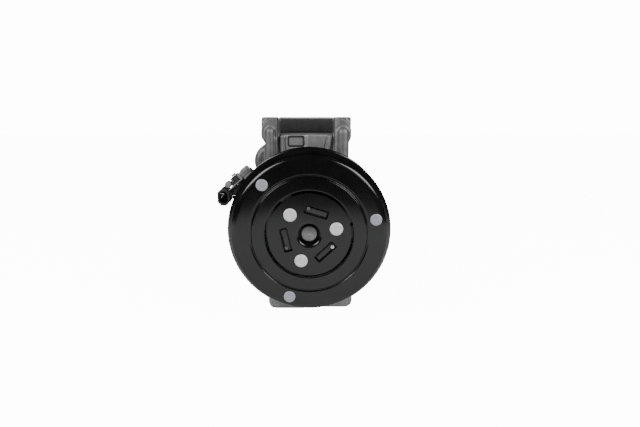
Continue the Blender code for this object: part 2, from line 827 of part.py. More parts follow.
def make_front_housing():
    section = [
        (SEAL_BORE, NOSE_FRONT),
        (NOSE_RADIUS - 0.8, NOSE_FRONT),
        (NOSE_RADIUS, NOSE_FRONT + 0.8),
        (NOSE_RADIUS, PULLEY_BEARING[1] + GAP),
        (COIL_SEAT, PULLEY_BEARING[1] + GAP),
        (COIL_SEAT, 38.9),
        (30.0, 38.9),
        (33.0, 42.0),
        (52.0, BODY_FRONT),
        (BODY_RADIUS, BODY_FRONT + 3.5),
        (BODY_RADIUS, SPLIT_FRONT - GAP),
        (CAVITY_RADIUS, SPLIT_FRONT - GAP),
        (CAVITY_RADIUS, CAVITY_FLOOR),
        (MAIN_BORE, CAVITY_FLOOR),
        (MAIN_BORE, MAIN_FLOOR),
        (NEEDLE_BORE, MAIN_FLOOR),
        (NEEDLE_BORE, 33.5),
        (8.3, 33.5),
        (8.3, 29.0),
        (SEAL_BORE, 29.0),
    ]
    housing = turned("front_housing", section, FINE, "cast_aluminium")
    left_ear, left_corner = ear("left_ear", *LEFT_EAR, LEFT_STEM)
    right_ear, right_corner = ear("right_ear", *RIGHT_EAR, RIGHT_STEM)
    join(housing, left_ear, right_ear)
    cut(housing, left_corner, right_corner)
    saddle = rectangle((LEFT_EAR[1] - 1.0, RIGHT_EAR[1] + 1.0), (EAR_ROOT + 3.0, SADDLE_TOP))
    join(housing, prism("saddle", [saddle], SADDLE_FRONT, SPLIT_FRONT - GAP - 1.0))
    pad = rectangle((-17.6, -3.9), (50.0, 71.6), 2.0)
    join(housing, prism("saddle_pad", [pad], SADDLE_FRONT - 2.2, SADDLE_FRONT + 1.0))
    pocket = rectangle((-14.6, -6.6), (56.0, 69.0), 1.2)
    cut(housing, prism("pad_pocket", [pocket], SADDLE_FRONT - 3.0, SADDLE_FRONT - 0.8))
    join(housing, column("left_column", *LEFT_COLUMN), column("right_column", *RIGHT_COLUMN))

    boss_back = SPLIT_FRONT - GAP - 0.6
    shoulder = [(0.0, 51.5), (12.0, 51.5), (15.0, 54.5), (15.0, boss_back), (0.0, boss_back)]
    join(housing, turned("shoulder_boss", shoulder, MEDIUM, x=-30.5, height=50.0))
    for index, angle in enumerate(BOLT_ANGLES[1:], 2):
        x, height = polar(BOLT_CIRCLE, angle)
        join(housing, disc(f"front_boss_{index}", BOLT_BOSS, 52.0, boss_back, SMALL, x=x, height=height))

    foot = rounded([
        (FOOT[0], -SHAFT_HEIGHT, FOOT_CORNER),
        (FOOT[1], -SHAFT_HEIGHT, FOOT_CORNER),
        (FOOT[1], -EAR_ROOT, 0.0),
        (FOOT[0], -EAR_ROOT, 0.0),
    ])
    join(housing, prism("foot", [foot], FOOT_FRONT, FOOT_BACK))
    cut(housing, block("foot_step", (FOOT_STEP, 45.0), (-80.0, -58.0), (40.0, FOOT_FRONT + FOOT_STEP_DEPTH)))

    lug = rectangle((BRACKET_RISER + GAP, BRACKET_TAB_END), (-10.0, LUG_TOP))
    frame = dict(x=BRACKET_MIDDLE[0], height=BRACKET_MIDDLE[1], turn=BRACKET_ANGLE)
    join(housing, prism("bracket_lug", [lug], BRACKET_DEPTHS[0] + 1.0, 62.0, **frame))
    tapped = [(0.0, -12.0), (2.6, -12.0), (2.6, 6.0), (0.0, 6.0)]
    cut(housing, turned("lug_hole", tapped, TINY, **screw_seat()))

    bottom, top = EAR_TOP - EAR_HOLE_DEPTH, EAR_TOP + 2.0
    for index, x in enumerate(EAR_HOLES, 1):
        cut(housing, post(f"ear_hole_{index}", MOUNT_HOLE, bottom, top, SMALL, x=x, depth=FOOT_DEPTH))
    bottom, top = -SHAFT_HEIGHT - 2.0, FOOT_HOLE_DEPTH - SHAFT_HEIGHT
    for index, x in enumerate(FOOT_HOLES, 1):
        cut(housing, post(f"foot_hole_{index}", MOUNT_HOLE, bottom, top, SMALL, x=x, depth=FOOT_DEPTH))
    cut_bolt_holes(housing, BOLT_TIP - 1.0, SPLIT_FRONT + 2.0)


def make_centre_housing():
    outlines = [lobed_outline(SHELL_RADIUS, BOLT_BOSS), circle(SHELL_BORE, FINE)]
    shell = prism("centre_housing", outlines, SPLIT_FRONT, SPLIT_REAR, "cast_aluminium")
    join(shell, block("port_block", PORT_BLOCK, (48.5, PORT_BLOCK_TOP), PORT_DEPTHS))
    foot = rectangle(REAR_FOOT, (-SHAFT_HEIGHT, -49.0), 0.0)
    join(shell, prism("rear_foot", [foot], *REAR_FOOT_DEPTHS))
    cut_bolt_holes(shell, SPLIT_FRONT - 2.0, SPLIT_REAR + 2.0)
    cut(shell, disc("o_ring_step", 49.4, SPLIT_FRONT - 2, SPLIT_FRONT + 1.3, FINE))
    for name, (x, radius) in (("suction_bore", SUCTION_PORT), ("discharge_bore", DISCHARGE_PORT)):
        cut(shell, post(name, radius, 44.0, PORT_BLOCK_TOP + 2.0, SMALL, x=x, depth=PORT_CENTRE_DEPTH))


def make_port_cover():
    cover = block(
        "port_cover", PORT_COVER, (PORT_BLOCK_TOP + GAP, PORT_COVER_TOP),
        (PORT_DEPTHS[0] - 1.5, PORT_DEPTHS[1]), "black_plastic", bevel=2.0,
    )
    bottom, top = PORT_BLOCK_TOP - 6.0, PORT_BLOCK_TOP + 4.0
    for name, (x, radius) in (("suction_plug", SUCTION_PORT), ("discharge_plug", DISCHARGE_PORT)):
        plug = post(name, radius - 0.5, bottom, top, SMALL, x=x, depth=PORT_CENTRE_DEPTH)
        join(cover, plug)


def make_rear_housing():
    front = SPLIT_REAR + GAP
    outline = lobed_outline(SHELL_RADIUS, BOLT_BOSS)
    housing = prism("rear_housing", [outline], front, REAR_FLANGE_BACK, "cast_aluminium")
    dome = [
        (0.0, 130.0),
        (47.0, 130.0),
        (47.0, 142.0),
        (44.5, 147.5),
        (40.0, REAR_BACK),
        (0.0, REAR_BACK),
    ]
    join(housing, turned("rear_dome", dome, FINE))
    cut(housing, disc("discharge_chamber", CHAMBER_RADIUS, front - 2, CHAMBER_FLOOR, FINE))
    cut(housing, disc("rear_o_ring_step", 49.4, front - 2, front + 1.3, FINE))
    cut_bolt_holes(housing, front - 2.0, REAR_FLANGE_BACK + 2.0)
    cut(housing, disc("relief_hole", 5.3, CHAMBER_FLOOR - 2, REAR_BACK + 2, SMALL, **RELIEF_PLACE))


def make_relief_valve():
    section = [(0.0, 140.0), (5.0, 140.0), (5.0, REAR_BACK + GAP), (0.0, REAR_BACK + GAP)]
    valve = turned("relief_valve", section, SMALL, "brass", **RELIEF_PLACE)
    join(valve, disc("relief_hexagon", 8.0, REAR_BACK + GAP, REAR_BACK + 6.0, 6, **RELIEF_PLACE))
    join(valve, disc("relief_cap", 4.0, REAR_BACK + 5.0, REAR_BACK + 9.0, SMALL, **RELIEF_PLACE))


def make_o_rings():
    for name, face in (("front_o_ring", SPLIT_FRONT), ("rear_o_ring", SPLIT_REAR + GAP)):
        section = [(48.2 + a, face + 0.5 + b) for a, b in circle(0.75, 6)]
        turned(name, section, MEDIUM, "black_rubber")


def make_body_bolts():
    seat = REAR_FLANGE_BACK + GAP
    for index, angle in enumerate(BOLT_ANGLES, 1):
        x, height = polar(BOLT_CIRCLE, angle)
        where = dict(x=x, height=height)
        bolt = disc(f"body_bolt_{index}", BOLT_RADIUS, BOLT_TIP, seat + 1.0, TINY, "plated_steel", **where)
        join(bolt, disc(f"bolt_head_{index}", BOLT_HEAD, seat, seat + 5.0, 6, **where))


# Shaft line


def make_shaft():
    section = [
        (0.0, SHAFT_END + 1.1),
        (1.0, SHAFT_END + 0.1),
        (4.6, SHAFT_END),
        (5.9, SHAFT_END + 0.5),
        (SHAFT_NOSE, SHAFT_END + 1.3),
        (SHAFT_NOSE, 18.8),
        (SEAL_JOURNAL, 19.4),
        (SEAL_JOURNAL, 32.0),
        (NEEDLE_JOURNAL, 33.0),
        (NEEDLE_JOURNAL, MAIN_FLOOR),
        (MAIN_JOURNAL, 51.0),
        (MAIN_JOURNAL, 66.0),
        (16.5, 66.8),
        (16.5, 70.5),
        (0.0, 70.5),
    ]
    shaft = turned("drive_shaft", section, MEDIUM, "bare_steel")
    join(shaft, disc("drive_pin", PIN_RADIUS, 68.0, 82.6, SMALL, height=ORBIT))


def make_counterweight():
    """A plate round the drive pin that carries a heavy half-ring on the side away from the pin."""
    half_ring = arc(33.0, 190.0, 350.0, 16) + arc(19.0, 350.0, 190.0, 12, 0.0, ORBIT)
    hole = circle(PIN_RADIUS + GAP, 14, 0.0, ORBIT)
    plate = prism("counterweight", [circle(15.5, 28), hole], 70.8, 72.8, "bare_steel")
    join(plate, prism("counterweight_web", [arc(30.0, 200.0, 340.0, 14) + [(0.0, -6.0)]], 70.8, 72.8))
    join(plate, prism("counterweight_mass", [half_ring], 70.8, 79.4))


def make_bearings_and_seal():
    front, back = BUSH_DEPTHS
    ring("eccentric_bush", PIN_RADIUS + GAP, BUSH_RADIUS, front, back, SMALL, "bare_steel", height=ORBIT)
    needle_bore = BUSH_RADIUS + GAP
    ring(
        "bush_needle_bearing", needle_bore, needle_bore + NEEDLE_THICKNESS, front + 0.1, back - 0.1, SMALL,
        "plated_steel", parent=ORBIT_AXIS,
    )
    ring("nose_needle_bearing", NEEDLE_JOURNAL + GAP, NEEDLE_BORE - GAP, 34.2, 46.0, SMALL, "plated_steel")
    seal = [
        (SEAL_JOURNAL + GAP, 22.0),
        (8.6, 21.4),
        (SEAL_BORE - GAP, 21.4),
        (SEAL_BORE - GAP, 28.6),
        (SEAL_JOURNAL + GAP + 2.5, 28.6),
        (SEAL_JOURNAL + GAP + 2.5, 24.0),
        (SEAL_JOURNAL + GAP, 23.0),
    ]
    turned("lip_seal", seal, MEDIUM, "black_rubber")
    ring("seal_snap_ring", 10.9, SEAL_BORE - GAP, 19.6, 20.9, MEDIUM, "bare_steel")


# Scroll set


def wrap_outline(side):
    """Both walls of an involute wrap; side -1 gives the mating wrap, half a turn round."""
    base = (ORBIT + WRAP_THICKNESS + WRAP_CLEARANCE) / math.pi
    count = round((WRAP_END - WRAP_START) / math.pi * WRAP_STEPS_PER_HALF_TURN)
    angles = [WRAP_START + (WRAP_END - WRAP_START) * index / count for index in range(count + 1)]

    def wall(offset):
        points = []
        for angle in angles:
            reach = base * angle + offset
            x = base * math.cos(angle) + reach * math.sin(angle)
            height = base * math.sin(angle) - reach * math.cos(angle)
            points.append((side * x, side * height))
        return points

    return wall(WRAP_THICKNESS / 2) + wall(-WRAP_THICKNESS / 2)[::-1]


def make_orbiting_scroll():
    bore, outside = SCROLL_HUB
    plate_front, plate_back = ORBITING_PLATE
    section = [
        (0.0, plate_front + 0.2),
        (bore, plate_front + 0.2),
        (bore, SCROLL_HUB_FRONT),
        (outside, SCROLL_HUB_FRONT),
        (outside, plate_front),
        (ORBITING_RADIUS, plate_front),
        (ORBITING_RADIUS, plate_back),
        (0.0, plate_back),
    ]
    scroll = turned("orbiting_scroll", section, FINE, "machined_aluminium", parent=ORBIT_AXIS)
    wrap_back = plate_back + WRAP_HEIGHT
    join(scroll, prism("orbiting_wrap", [wrap_outline(1)], plate_back - 1.0, wrap_back, parent=ORBIT_AXIS))
    pocket = ORBIT + STOP_PIN_RADIUS + 2 * GAP
    for index, angle in enumerate(ring_of(STOP_PINS, 90.0), 1):
        x, height = polar(STOP_PIN_CIRCLE, angle)
        cut(scroll, disc(
            f"stop_pocket_{index}", pocket, plate_front - 1.0, plate_front + 4.6, SMALL,
            x=x, height=height, parent=ORBIT_AXIS,
        ))


def make_fixed_scroll():
    front, back = FIXED_PLATE
    wall_front = ORBITING_PLATE[1] + GAP
    section = [
        (0.0, front),
        (FIXED_WALL[0], front),
        (FIXED_WALL[0], wall_front),
        (FIXED_WALL[1], wall_front),
        (FIXED_WALL[1], back),
        (0.0, back),
    ]
    scroll = turned("fixed_scroll", section, FINE, "machined_aluminium")
    join(scroll, prism("fixed_wrap", [wrap_outline(-1)], wall_front, front + 1.0))
    cut(scroll, disc("discharge_hole", DISCHARGE_HOLE, front - 2.0, back + 2.0, TINY))
    cut(scroll, disc("reed_screw_hole", 1.9, back - 5.0, back + 2.0, TINY, height=REED_SCREW_HEIGHT))
    inlet = rectangle((-8.0, 8.0), (36.0, 50.0))
    cut(scroll, prism("suction_inlet", [inlet], wall_front - 1.0, front - 3.0))


def make_thrust_plate_and_pins():
    front, back = THRUST_PLATE
    pins = [polar(STOP_PIN_CIRCLE, angle) for angle in ring_of(STOP_PINS, 90.0)]
    holes = [circle(STOP_PIN_RADIUS + GAP, 12, *pin) for pin in pins]
    prism("thrust_plate", [circle(46.5, FINE), circle(23.2, MEDIUM), *holes], front, back, "bare_steel")
    for index, (x, height) in enumerate(pins, 1):
        disc(
            f"stop_pin_{index}", STOP_PIN_RADIUS, front + GAP, ORBITING_PLATE[0] + 4.2, TINY,
            "bare_steel", x=x, height=height,
        )


def make_reed_valve():
    """A reed over the discharge hole, hinged along its root, under a stop that rises to its tip."""
    half = REED_HALF_WIDTH
    reed = rectangle((-half, half), (0.0, REED_TIP - REED_ROOT), 0.0)
    prism(
        "discharge_reed", [reed], -REED_THICKNESS / 2, REED_THICKNESS / 2, "spring_steel",
        parent=REED_AXIS,
    )
    base = REED_FRONT + REED_THICKNESS + GAP
    side = [
        (REED_FRONT, REED_SCREW_HEIGHT - 4.0),
        (base + 2.0, REED_SCREW_HEIGHT - 4.0),
        (base + 2.0, REED_ROOT + 2.0),
        (base + 6.2, REED_TIP),
        (base + 4.4, REED_TIP),
        (base + 0.2, REED_ROOT + 1.0),
        (base, REED_ROOT - 0.6),
        (REED_FRONT, REED_ROOT - 0.6),
    ]
    stop = prism("reed_stop", [side], -half, half, "bare_steel", rotation=(0.0, math.pi / 2, 0.0))
    cut(stop, disc("stop_screw_hole", 1.9, base - 4.0, base + 6.0, TINY, height=REED_SCREW_HEIGHT))
    head = base + 2.0 + GAP
    tip = FIXED_PLATE[1] - 4.0
    section = [(0.0, tip), (1.6, tip), (1.6, head), (3.2, head), (3.2, head + 2.4), (0.0, head + 2.4)]
    turned("reed_screw", section, TINY, "plated_steel", height=REED_SCREW_HEIGHT)


clear_scene()
PARTS = make_collection("ac_compressor")
CUTTERS = make_collection("ac_compressor_cutters")
LOOKS = make_materials()
# The shaft's frame: its X is the world's, its Y is up and its Z points out of the clutch.
SHAFT_AXIS = make_empty(
    "shaft_axis", location=Vector((0.0, -FOOT_DEPTH, SHAFT_HEIGHT)) * MM, rotation=(math.pi / 2, 0.0, 0.0)
)
ORBIT_AXIS = make_empty("orbit_axis", SHAFT_AXIS, Vector((0.0, ORBIT, 0.0)) * MM)
REED_AXIS = make_empty(
    "reed_axis", SHAFT_AXIS, Vector((0.0, REED_ROOT, -(REED_FRONT + REED_THICKNESS / 2))) * MM
)

make_front_housing()
make_centre_housing()
make_rear_housing()
make_port_cover()
make_relief_valve()
make_o_rings()
make_body_bolts()
make_shaft()
make_counterweight()
make_bearings_and_seal()
make_ball_bearing("main_bearing", MAIN_RACES, MAIN_BEARING, MAIN_BALL, MAIN_BALLS)
make_orbiting_scroll()
make_fixed_scroll()
make_thrust_plate_and_pins()
make_reed_valve()
make_pulley()
make_ball_bearing("pulley_bearing", PULLEY_RACES, PULLEY_BEARING, PULLEY_BALL, PULLEY_BALLS)
make_coil()
make_connector()
make_hub()
make_hub_disc()
make_armature_plate()
make_armature_cover()
make_rivets()
make_leaf_springs()
bake_parts()
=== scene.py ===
"""Looks of the compressor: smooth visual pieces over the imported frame, materials, light and camera."""

import json
import math

import bmesh
import bpy
from mathutils import Matrix, Vector

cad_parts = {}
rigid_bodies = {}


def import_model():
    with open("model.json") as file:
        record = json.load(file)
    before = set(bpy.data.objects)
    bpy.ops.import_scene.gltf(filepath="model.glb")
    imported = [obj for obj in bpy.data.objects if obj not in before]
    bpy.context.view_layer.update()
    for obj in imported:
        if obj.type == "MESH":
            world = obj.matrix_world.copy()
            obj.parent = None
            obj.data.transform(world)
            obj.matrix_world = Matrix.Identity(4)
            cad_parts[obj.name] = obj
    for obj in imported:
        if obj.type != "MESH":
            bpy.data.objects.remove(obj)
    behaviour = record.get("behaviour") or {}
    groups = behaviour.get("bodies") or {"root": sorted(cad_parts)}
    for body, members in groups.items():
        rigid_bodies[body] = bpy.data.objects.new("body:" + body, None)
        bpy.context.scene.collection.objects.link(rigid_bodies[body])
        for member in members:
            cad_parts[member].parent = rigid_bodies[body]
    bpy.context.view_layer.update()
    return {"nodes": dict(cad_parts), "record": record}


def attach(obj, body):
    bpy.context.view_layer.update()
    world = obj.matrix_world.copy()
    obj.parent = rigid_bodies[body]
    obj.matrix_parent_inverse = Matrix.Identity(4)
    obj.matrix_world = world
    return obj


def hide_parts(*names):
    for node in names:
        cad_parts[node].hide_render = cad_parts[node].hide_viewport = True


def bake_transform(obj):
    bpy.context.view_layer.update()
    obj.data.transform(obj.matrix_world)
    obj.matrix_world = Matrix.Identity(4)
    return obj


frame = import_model()

# Shapes are given in millimetres and degrees: x across, height above the shaft's middle, and depth
# behind the clutch's front. Light, floor and camera are given in metres.
MM = 0.001
SHAFT_HEIGHT = 76.0  # above the foot's underside
FOOT_DEPTH = 57.0  # of the mounting holes, where the world's origin is
FINE, MEDIUM, SMALL = 144, 72, 40  # sides of a large, a medium and a small turned shape
RIVET_SIDES = 48
STUD_SIDES = 24
CAST_VOXEL = 0.75

RIVET_ANGLES = [12.9, 132.9, 252.9]
INNER_CIRCLE = 20.9
OUTER_CIRCLE = 51.3
INNER_HOLE = 2.6
OUTER_HOLE = 2.3
LEAF_HALF = 4.0

DISC_FRONT = 1.2
DISC_BACK = 4.2
DISC_RADIUS = 31.6
DISC_BORE = 8.1
SLOT_CIRCLE = 18.0
SLOT_LEAD = 60.0  # from a rivet round to the middle of its slot
SLOT_LEAN = 30.0

RIBS = 6
RIB_PITCH = 3.56
BELT_FRONT = 15.3
CREST_RADIUS = 61.5
VALLEY_RADIUS = 58.7
FLANGE_RADIUS = 63.2

CASE_RADIUS = 54.0
BOLT_CIRCLE = 53.5
BOLT_ANGLES = [120.0 + 72.0 * index for index in range(5)]
BOLT_BOSS = 6.6
BOLT_HOLE = 3.4
EAR_TOP = 86.0
EAR_CORNER = 11.0
EAR_HOLES = (-32.0, 27.2)
FOOT_HOLES = (-24.0, 26.0)
MOUNT_HOLE = 4.3
PORTS = ((-12.0, 7.5), (9.5, 5.5))  # x and bore radius
PORT_DEPTH = 101.0
PLUG_GAP = 0.5

STRIP_TURN = 40.4
STRIP_MIDDLE = (-60.6, 31.6)
SCREW_ALONG = 13.2
SCREW_DEPTH = 50.25
SCREW_HOLE = 2.6
CONNECTOR = dict(x=-69.9, height=21.7)

HELPERS = bpy.data.collections.new("scene_helpers")
bpy.context.scene.collection.children.link(HELPERS)
HELPERS.hide_render = True


def world(x, height, depth):
    """A point given across, above and behind the clutch face, in world metres."""
    return Vector((x, depth - FOOT_DEPTH, height + SHAFT_HEIGHT)) * MM


def polar(radius, angle):
    """The (x, height) of a point round the shaft."""
    return radius * math.cos(math.radians(angle)), radius * math.sin(math.radians(angle))


def ring_of(count, start=0.0):
    """Angles spread evenly round a circle."""
    return [start + 360.0 * index / count for index in range(count)]


# Meshes


def keep(name, solid):
    """Turn a bmesh into an object that only helps until show() takes it."""
    bmesh.ops.recalc_face_normals(solid, faces=solid.faces)
    mesh = bpy.data.meshes.new(name)
    solid.to_mesh(mesh)
    solid.free()
    obj = bpy.data.objects.new(name, mesh)
    HELPERS.objects.link(obj)
    return obj


def turned(name, profile, steps=FINE, x=0.0, height=0.0, start=0.0):
    """Turn (radius, depth) pairs about a line along the shaft through (x, height)."""
    solid = bmesh.new()
    rings = []
    for radius, depth in profile:
        if radius == 0.0:
            rings.append([solid.verts.new(world(x, height, depth))])
            continue
        rim = [polar(radius, angle) for angle in ring_of(steps, start)]
        rings.append([solid.verts.new(world(x + a, height + b, depth)) for a, b in rim])
    if all(radius > 0 for radius, _ in profile):
        rings.append(rings[0])
    for first, second in zip(rings, rings[1:]):
        for index in range(steps):
            after = (index + 1) % steps
            corners = [first[index % len(first)], first[after % len(first)]]
            corners += [second[after % len(second)], second[index % len(second)]]
            corners = list(dict.fromkeys(corners))
            if len(corners) > 2:
                solid.faces.new(corners)
    return keep(name, solid)


def disc(name, radius, front, back, steps=SMALL, **where):
    """A plain cylinder along the shaft, for a hole or a boss."""
    return turned(name, [(0.0, front), (radius, front), (radius, back), (0.0, back)], steps, **where)


def disc_ring(name, circle, angles, radius, front, back):
    """The same cylinder at each of some angles round the shaft."""
    places = [polar(circle, angle) for angle in angles]
    return [disc(name, radius, front, back, x=x, height=height) for x, height in places]


def upright(name, profile, steps=SMALL, x=0.0, depth=0.0):
    """Turn (radius, height) pairs about an upright line."""
    obj = turned(name, profile, steps)
    swing = Matrix.Translation(world(x, 0.0, depth)) @ Matrix.Rotation(math.pi / 2, 4, "X")
    obj.data.transform(swing @ Matrix.Translation(-world(0.0, 0.0, 0.0)))
    return obj


def rod(name, radius, top, bottom, steps=SMALL, **where):
    """A plain upright cylinder, for a hole or a plug."""
    return upright(name, [(0.0, top), (radius, top), (radius, bottom), (0.0, bottom)], steps, **where)


def prism(name, outline, front, back, turn=0.0, x=0.0, height=0.0):
    """Extrude a closed outline of (x, height) pairs along the shaft."""
    swing = Matrix.Rotation(math.radians(turn), 2)
    solid = bmesh.new()
    caps = []
    for depth in (front, back):
        placed = [swing @ Vector(point) for point in outline]
        caps.append([solid.verts.new(world(x + p.x, height + p.y, depth)) for p in placed])
    solid.faces.new(caps[0])
    solid.faces.new(caps[1])
    for index in range(len(outline)):
        after = (index + 1) % len(outline)
        solid.faces.new([caps[0][index], caps[0][after], caps[1][after], caps[1][index]])
    return keep(name, solid)


def block(name, x_range, height_range, depth_range, **where):
    (x0, x1), (z0, z1) = x_range, height_range
    return prism(name, [(x0, z0), (x1, z0), (x1, z1), (x0, z1)], *depth_range, **where)


def arc(radius, start, end, steps, x=0.0, height=0.0):
    """Points along an arc, as (x, height) pairs."""
    angles = [start + (end - start) * index / steps for index in range(steps + 1)]
    return [(x + a, height + b) for a, b in (polar(radius, angle) for angle in angles)]


def rounded(corners, steps=6):
    """A closed outline from (x, height, corner radius) triples."""
    outline = []
    for index, (x, height, radius) in enumerate(corners):
        corner = Vector((x, height))
        if not radius:
            outline.append((x, height))
            continue
        before = (Vector(corners[index - 1][:2]) - corner).normalized()
        after = (Vector(corners[(index + 1) % len(corners)][:2]) - corner).normalized()
        half = before.angle(after) / 2
        centre = corner + (before + after).normalized() * radius / math.sin(half)
        first = (corner + before * radius / math.tan(half) - centre).normalized()
        last = (corner + after * radius / math.tan(half) - centre).normalized()
        for step in range(steps + 1):
            outline.append(tuple(centre + first.slerp(last, step / steps) * radius))
    return outline


def rectangle(x_range, height_range, radius=0.0):
    (x0, x1), (z0, z1) = x_range, height_range
    return rounded([(x0, z0, radius), (x1, z0, radius), (x1, z1, radius), (x0, z1, radius)])


def apply(obj):
    """Replace the object's mesh with what its modifiers make of it."""
    bpy.context.view_layer.update()
    graph = bpy.context.evaluated_depsgraph_get()
    mesh = bpy.data.meshes.new_from_object(obj.evaluated_get(graph))
    obj.modifiers.clear()
    obj.data = mesh
    return obj


def combine(target, adds=(), cuts=()):
    """Join solids to the target, then cut others from it."""
    for operation, tools in (("UNION", adds), ("DIFFERENCE", cuts)):
        for tool in tools:
            modifier = target.modifiers.new(tool.name, "BOOLEAN")
            modifier.operation = operation
            modifier.solver = "EXACT"
            modifier.object = tool
    return apply(target)


def soften(obj, width, segments=2, angle=28.0):
    """Round the edges, as a tool or a worn edge leaves them."""
    bevel = obj.modifiers.new("Soften", "BEVEL")
    bevel.width = width * MM
    bevel.segments = segments
    bevel.limit_method = "ANGLE"
    bevel.angle_limit = math.radians(angle)
    bevel.use_clamp_overlap = True
    return apply(obj)


def cast_skin(obj, voxel=CAST_VOXEL, passes=4):
    """Give a joined solid the small fillets of a casting."""
    remesh = obj.modifiers.new("Skin", "REMESH")
    remesh.mode = "VOXEL"
    remesh.voxel_size = voxel * MM
    smooth = obj.modifiers.new("Fillets", "SMOOTH")
    smooth.factor = 0.5
    smooth.iterations = passes
    return apply(obj)


def bring_in(obj, material):
    """Move a helper into the scene and give it its one material."""
    HELPERS.objects.unlink(obj)
    bpy.context.scene.collection.objects.link(obj)
    obj.data.materials.clear()
    obj.data.materials.append(material)


def show(obj, body, material, slot, *nodes, smooth_angle=32.0):
    """Make a helper a visible piece that rides on a body and stands for CAD nodes."""
    bring_in(obj, material)
    obj.data.shade_smooth()
    if smooth_angle:
        obj.data.set_sharp_from_angle(angle=math.radians(smooth_angle))
    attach(obj, body)
    if nodes:
        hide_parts(*nodes)
    return obj


# Materials


class Look:
    """A material's node tree, with short calls for the nodes it takes."""

    def __init__(self, name, colour, roughness, metallic=0.0, **sockets):
        self.material = bpy.data.materials.new(name)
        self.material.use_nodes = True
        self.nodes = self.material.node_tree.nodes
        self.links = self.material.node_tree.links
        self.shader = self.nodes["Principled BSDF"]
        self.shader.inputs["Base Color"].default_value = (*colour, 1.0)
        self.shader.inputs["Roughness"].default_value = roughness
        self.shader.inputs["Metallic"].default_value = metallic
        for socket, value in sockets.items():
            self.shader.inputs[socket.replace("_", " ")].default_value = value
        self.place = self.nodes.new("ShaderNodeTexCoord").outputs["Object"]

    def noise(self, scale, detail=3.0, stretch=None, roughness=0.55):
        source = self.place
        if stretch:
            mapping = self.nodes.new("ShaderNodeMapping")
            mapping.inputs["Scale"].default_value = stretch
            self.links.new(source, mapping.inputs["Vector"])
            source = mapping.outputs["Vector"]
        noise = self.nodes.new("ShaderNodeTexNoise")
        noise.inputs["Scale"].default_value = scale
        noise.inputs["Detail"].default_value = detail
        noise.inputs["Roughness"].default_value = roughness
        self.links.new(source, noise.inputs["Vector"])
        return noise.outputs["Fac"]

    def spots(self, scale):
        cells = self.nodes.new("ShaderNodeTexVoronoi")
        cells.inputs["Scale"].default_value = scale
        self.links.new(self.place, cells.inputs["Vector"])
        return cells.outputs["Distance"]

    def turning(self, x, height, pitch):
        """Fine rings about a line along the shaft, as a lathe leaves them."""
        split = self.nodes.new("ShaderNodeSeparateXYZ")
        self.links.new(self.place, split.inputs[0])
        centre = world(x, height, 0.0)
        squares = []
        for axis, middle in (("X", centre.x), ("Z", centre.z)):
            offset = self.math("SUBTRACT", split.outputs[axis], middle)
            squares.append(self.math("MULTIPLY", offset, offset))
        radius = self.math("SQRT", self.math("ADD", *squares))
        return self.math("SINE", self.math("MULTIPLY", radius, 2 * math.pi / (pitch * MM)))

    def span(self, axis, start, end):
        """0 within start of the world's middle along an axis, rising to 1 at end, in millimetres."""
        split = self.nodes.new("ShaderNodeSeparateXYZ")
        self.links.new(self.place, split.inputs[0])
        node = self.nodes.new("ShaderNodeMapRange")
        node.inputs["From Min"].default_value = start * MM
        node.inputs["From Max"].default_value = end * MM
        self.links.new(self.math("ABSOLUTE", split.outputs[axis]), node.inputs["Value"])
        return node.outputs[0]

    def math(self, operation, *values):
        node = self.nodes.new("ShaderNodeMath")
        node.operation = operation
        for socket, value in zip(node.inputs, values):
            if isinstance(value, float):
                socket.default_value = value
            else:
                self.links.new(value, socket)
        return node.outputs[0]

    def ramp(self, source, *stops):
        node = self.nodes.new("ShaderNodeValToRGB")
        elements = node.color_ramp.elements
        while len(elements) < len(stops):
            elements.new(0.5)
        for element, (position, colour) in zip(elements, stops):
            element.position = position
            element.color = (*colour, 1.0)
        self.links.new(source, node.inputs["Fac"])
        return node.outputs["Color"]

    def colour(self, source, *stops):
        self.links.new(self.ramp(source, *stops), self.shader.inputs["Base Color"])

    def roughness(self, source, low, high):
        node = self.nodes.new("ShaderNodeMapRange")
        node.inputs["To Min"].default_value = low
        node.inputs["To Max"].default_value = high
        self.links.new(source, node.inputs["Value"])
        self.links.new(node.outputs[0], self.shader.inputs["Roughness"])

    def bump(self, source, distance, strength=1.0):
        node = self.nodes.new("ShaderNodeBump")
        node.inputs["Distance"].default_value = distance * MM
        node.inputs["Strength"].default_value = strength
        previous = self.shader.inputs["Normal"].links
        if previous:
            self.links.new(previous[0].from_socket, node.inputs["Normal"])
        self.links.new(source, node.inputs["Height"])
        self.links.new(node.outputs["Normal"], self.shader.inputs["Normal"])


def grey(value, tint=(1.0, 1.0, 1.0)):
    return tuple(value * part for part in tint)


def cast_look():
    """Grey as cast, with painted shade that darkens the two ears."""
    look = Look("cast_look", grey(0.26), 0.5, metallic=0.6)
    # painted shade: the colour is darkened over the ears, by distance from the middle and by height
    ears = look.math("MULTIPLY", look.span("X", 20.5, 25.5), look.span("Z", 116.0, 128.0))
    source = look.math("SUBTRACT", look.noise(140.0, 4.0), look.math("MULTIPLY", ears, 0.42))
    look.colour(source, (0.0, grey(0.15)), (0.3, grey(0.22)), (0.7, grey(0.34)))
    look.roughness(look.noise(400.0), 0.40, 0.58)
    look.bump(look.noise(900.0, 4.0), 0.10, 0.5)
    look.bump(look.noise(60.0, 2.0), 0.4, 0.3)
    return look.material


def machined_look():
    look = Look("machined_look", grey(0.62), 0.28, metallic=0.9)
    look.colour(look.noise(300.0, 3.0), (0.3, grey(0.52)), (0.7, grey(0.68)))
    look.roughness(look.noise(900.0, 2.0, (1.0, 0.05, 1.0)), 0.22, 0.42)
    look.bump(look.noise(1500.0, 2.0, (1.0, 0.05, 1.0)), 0.02, 0.5)
    return look.material


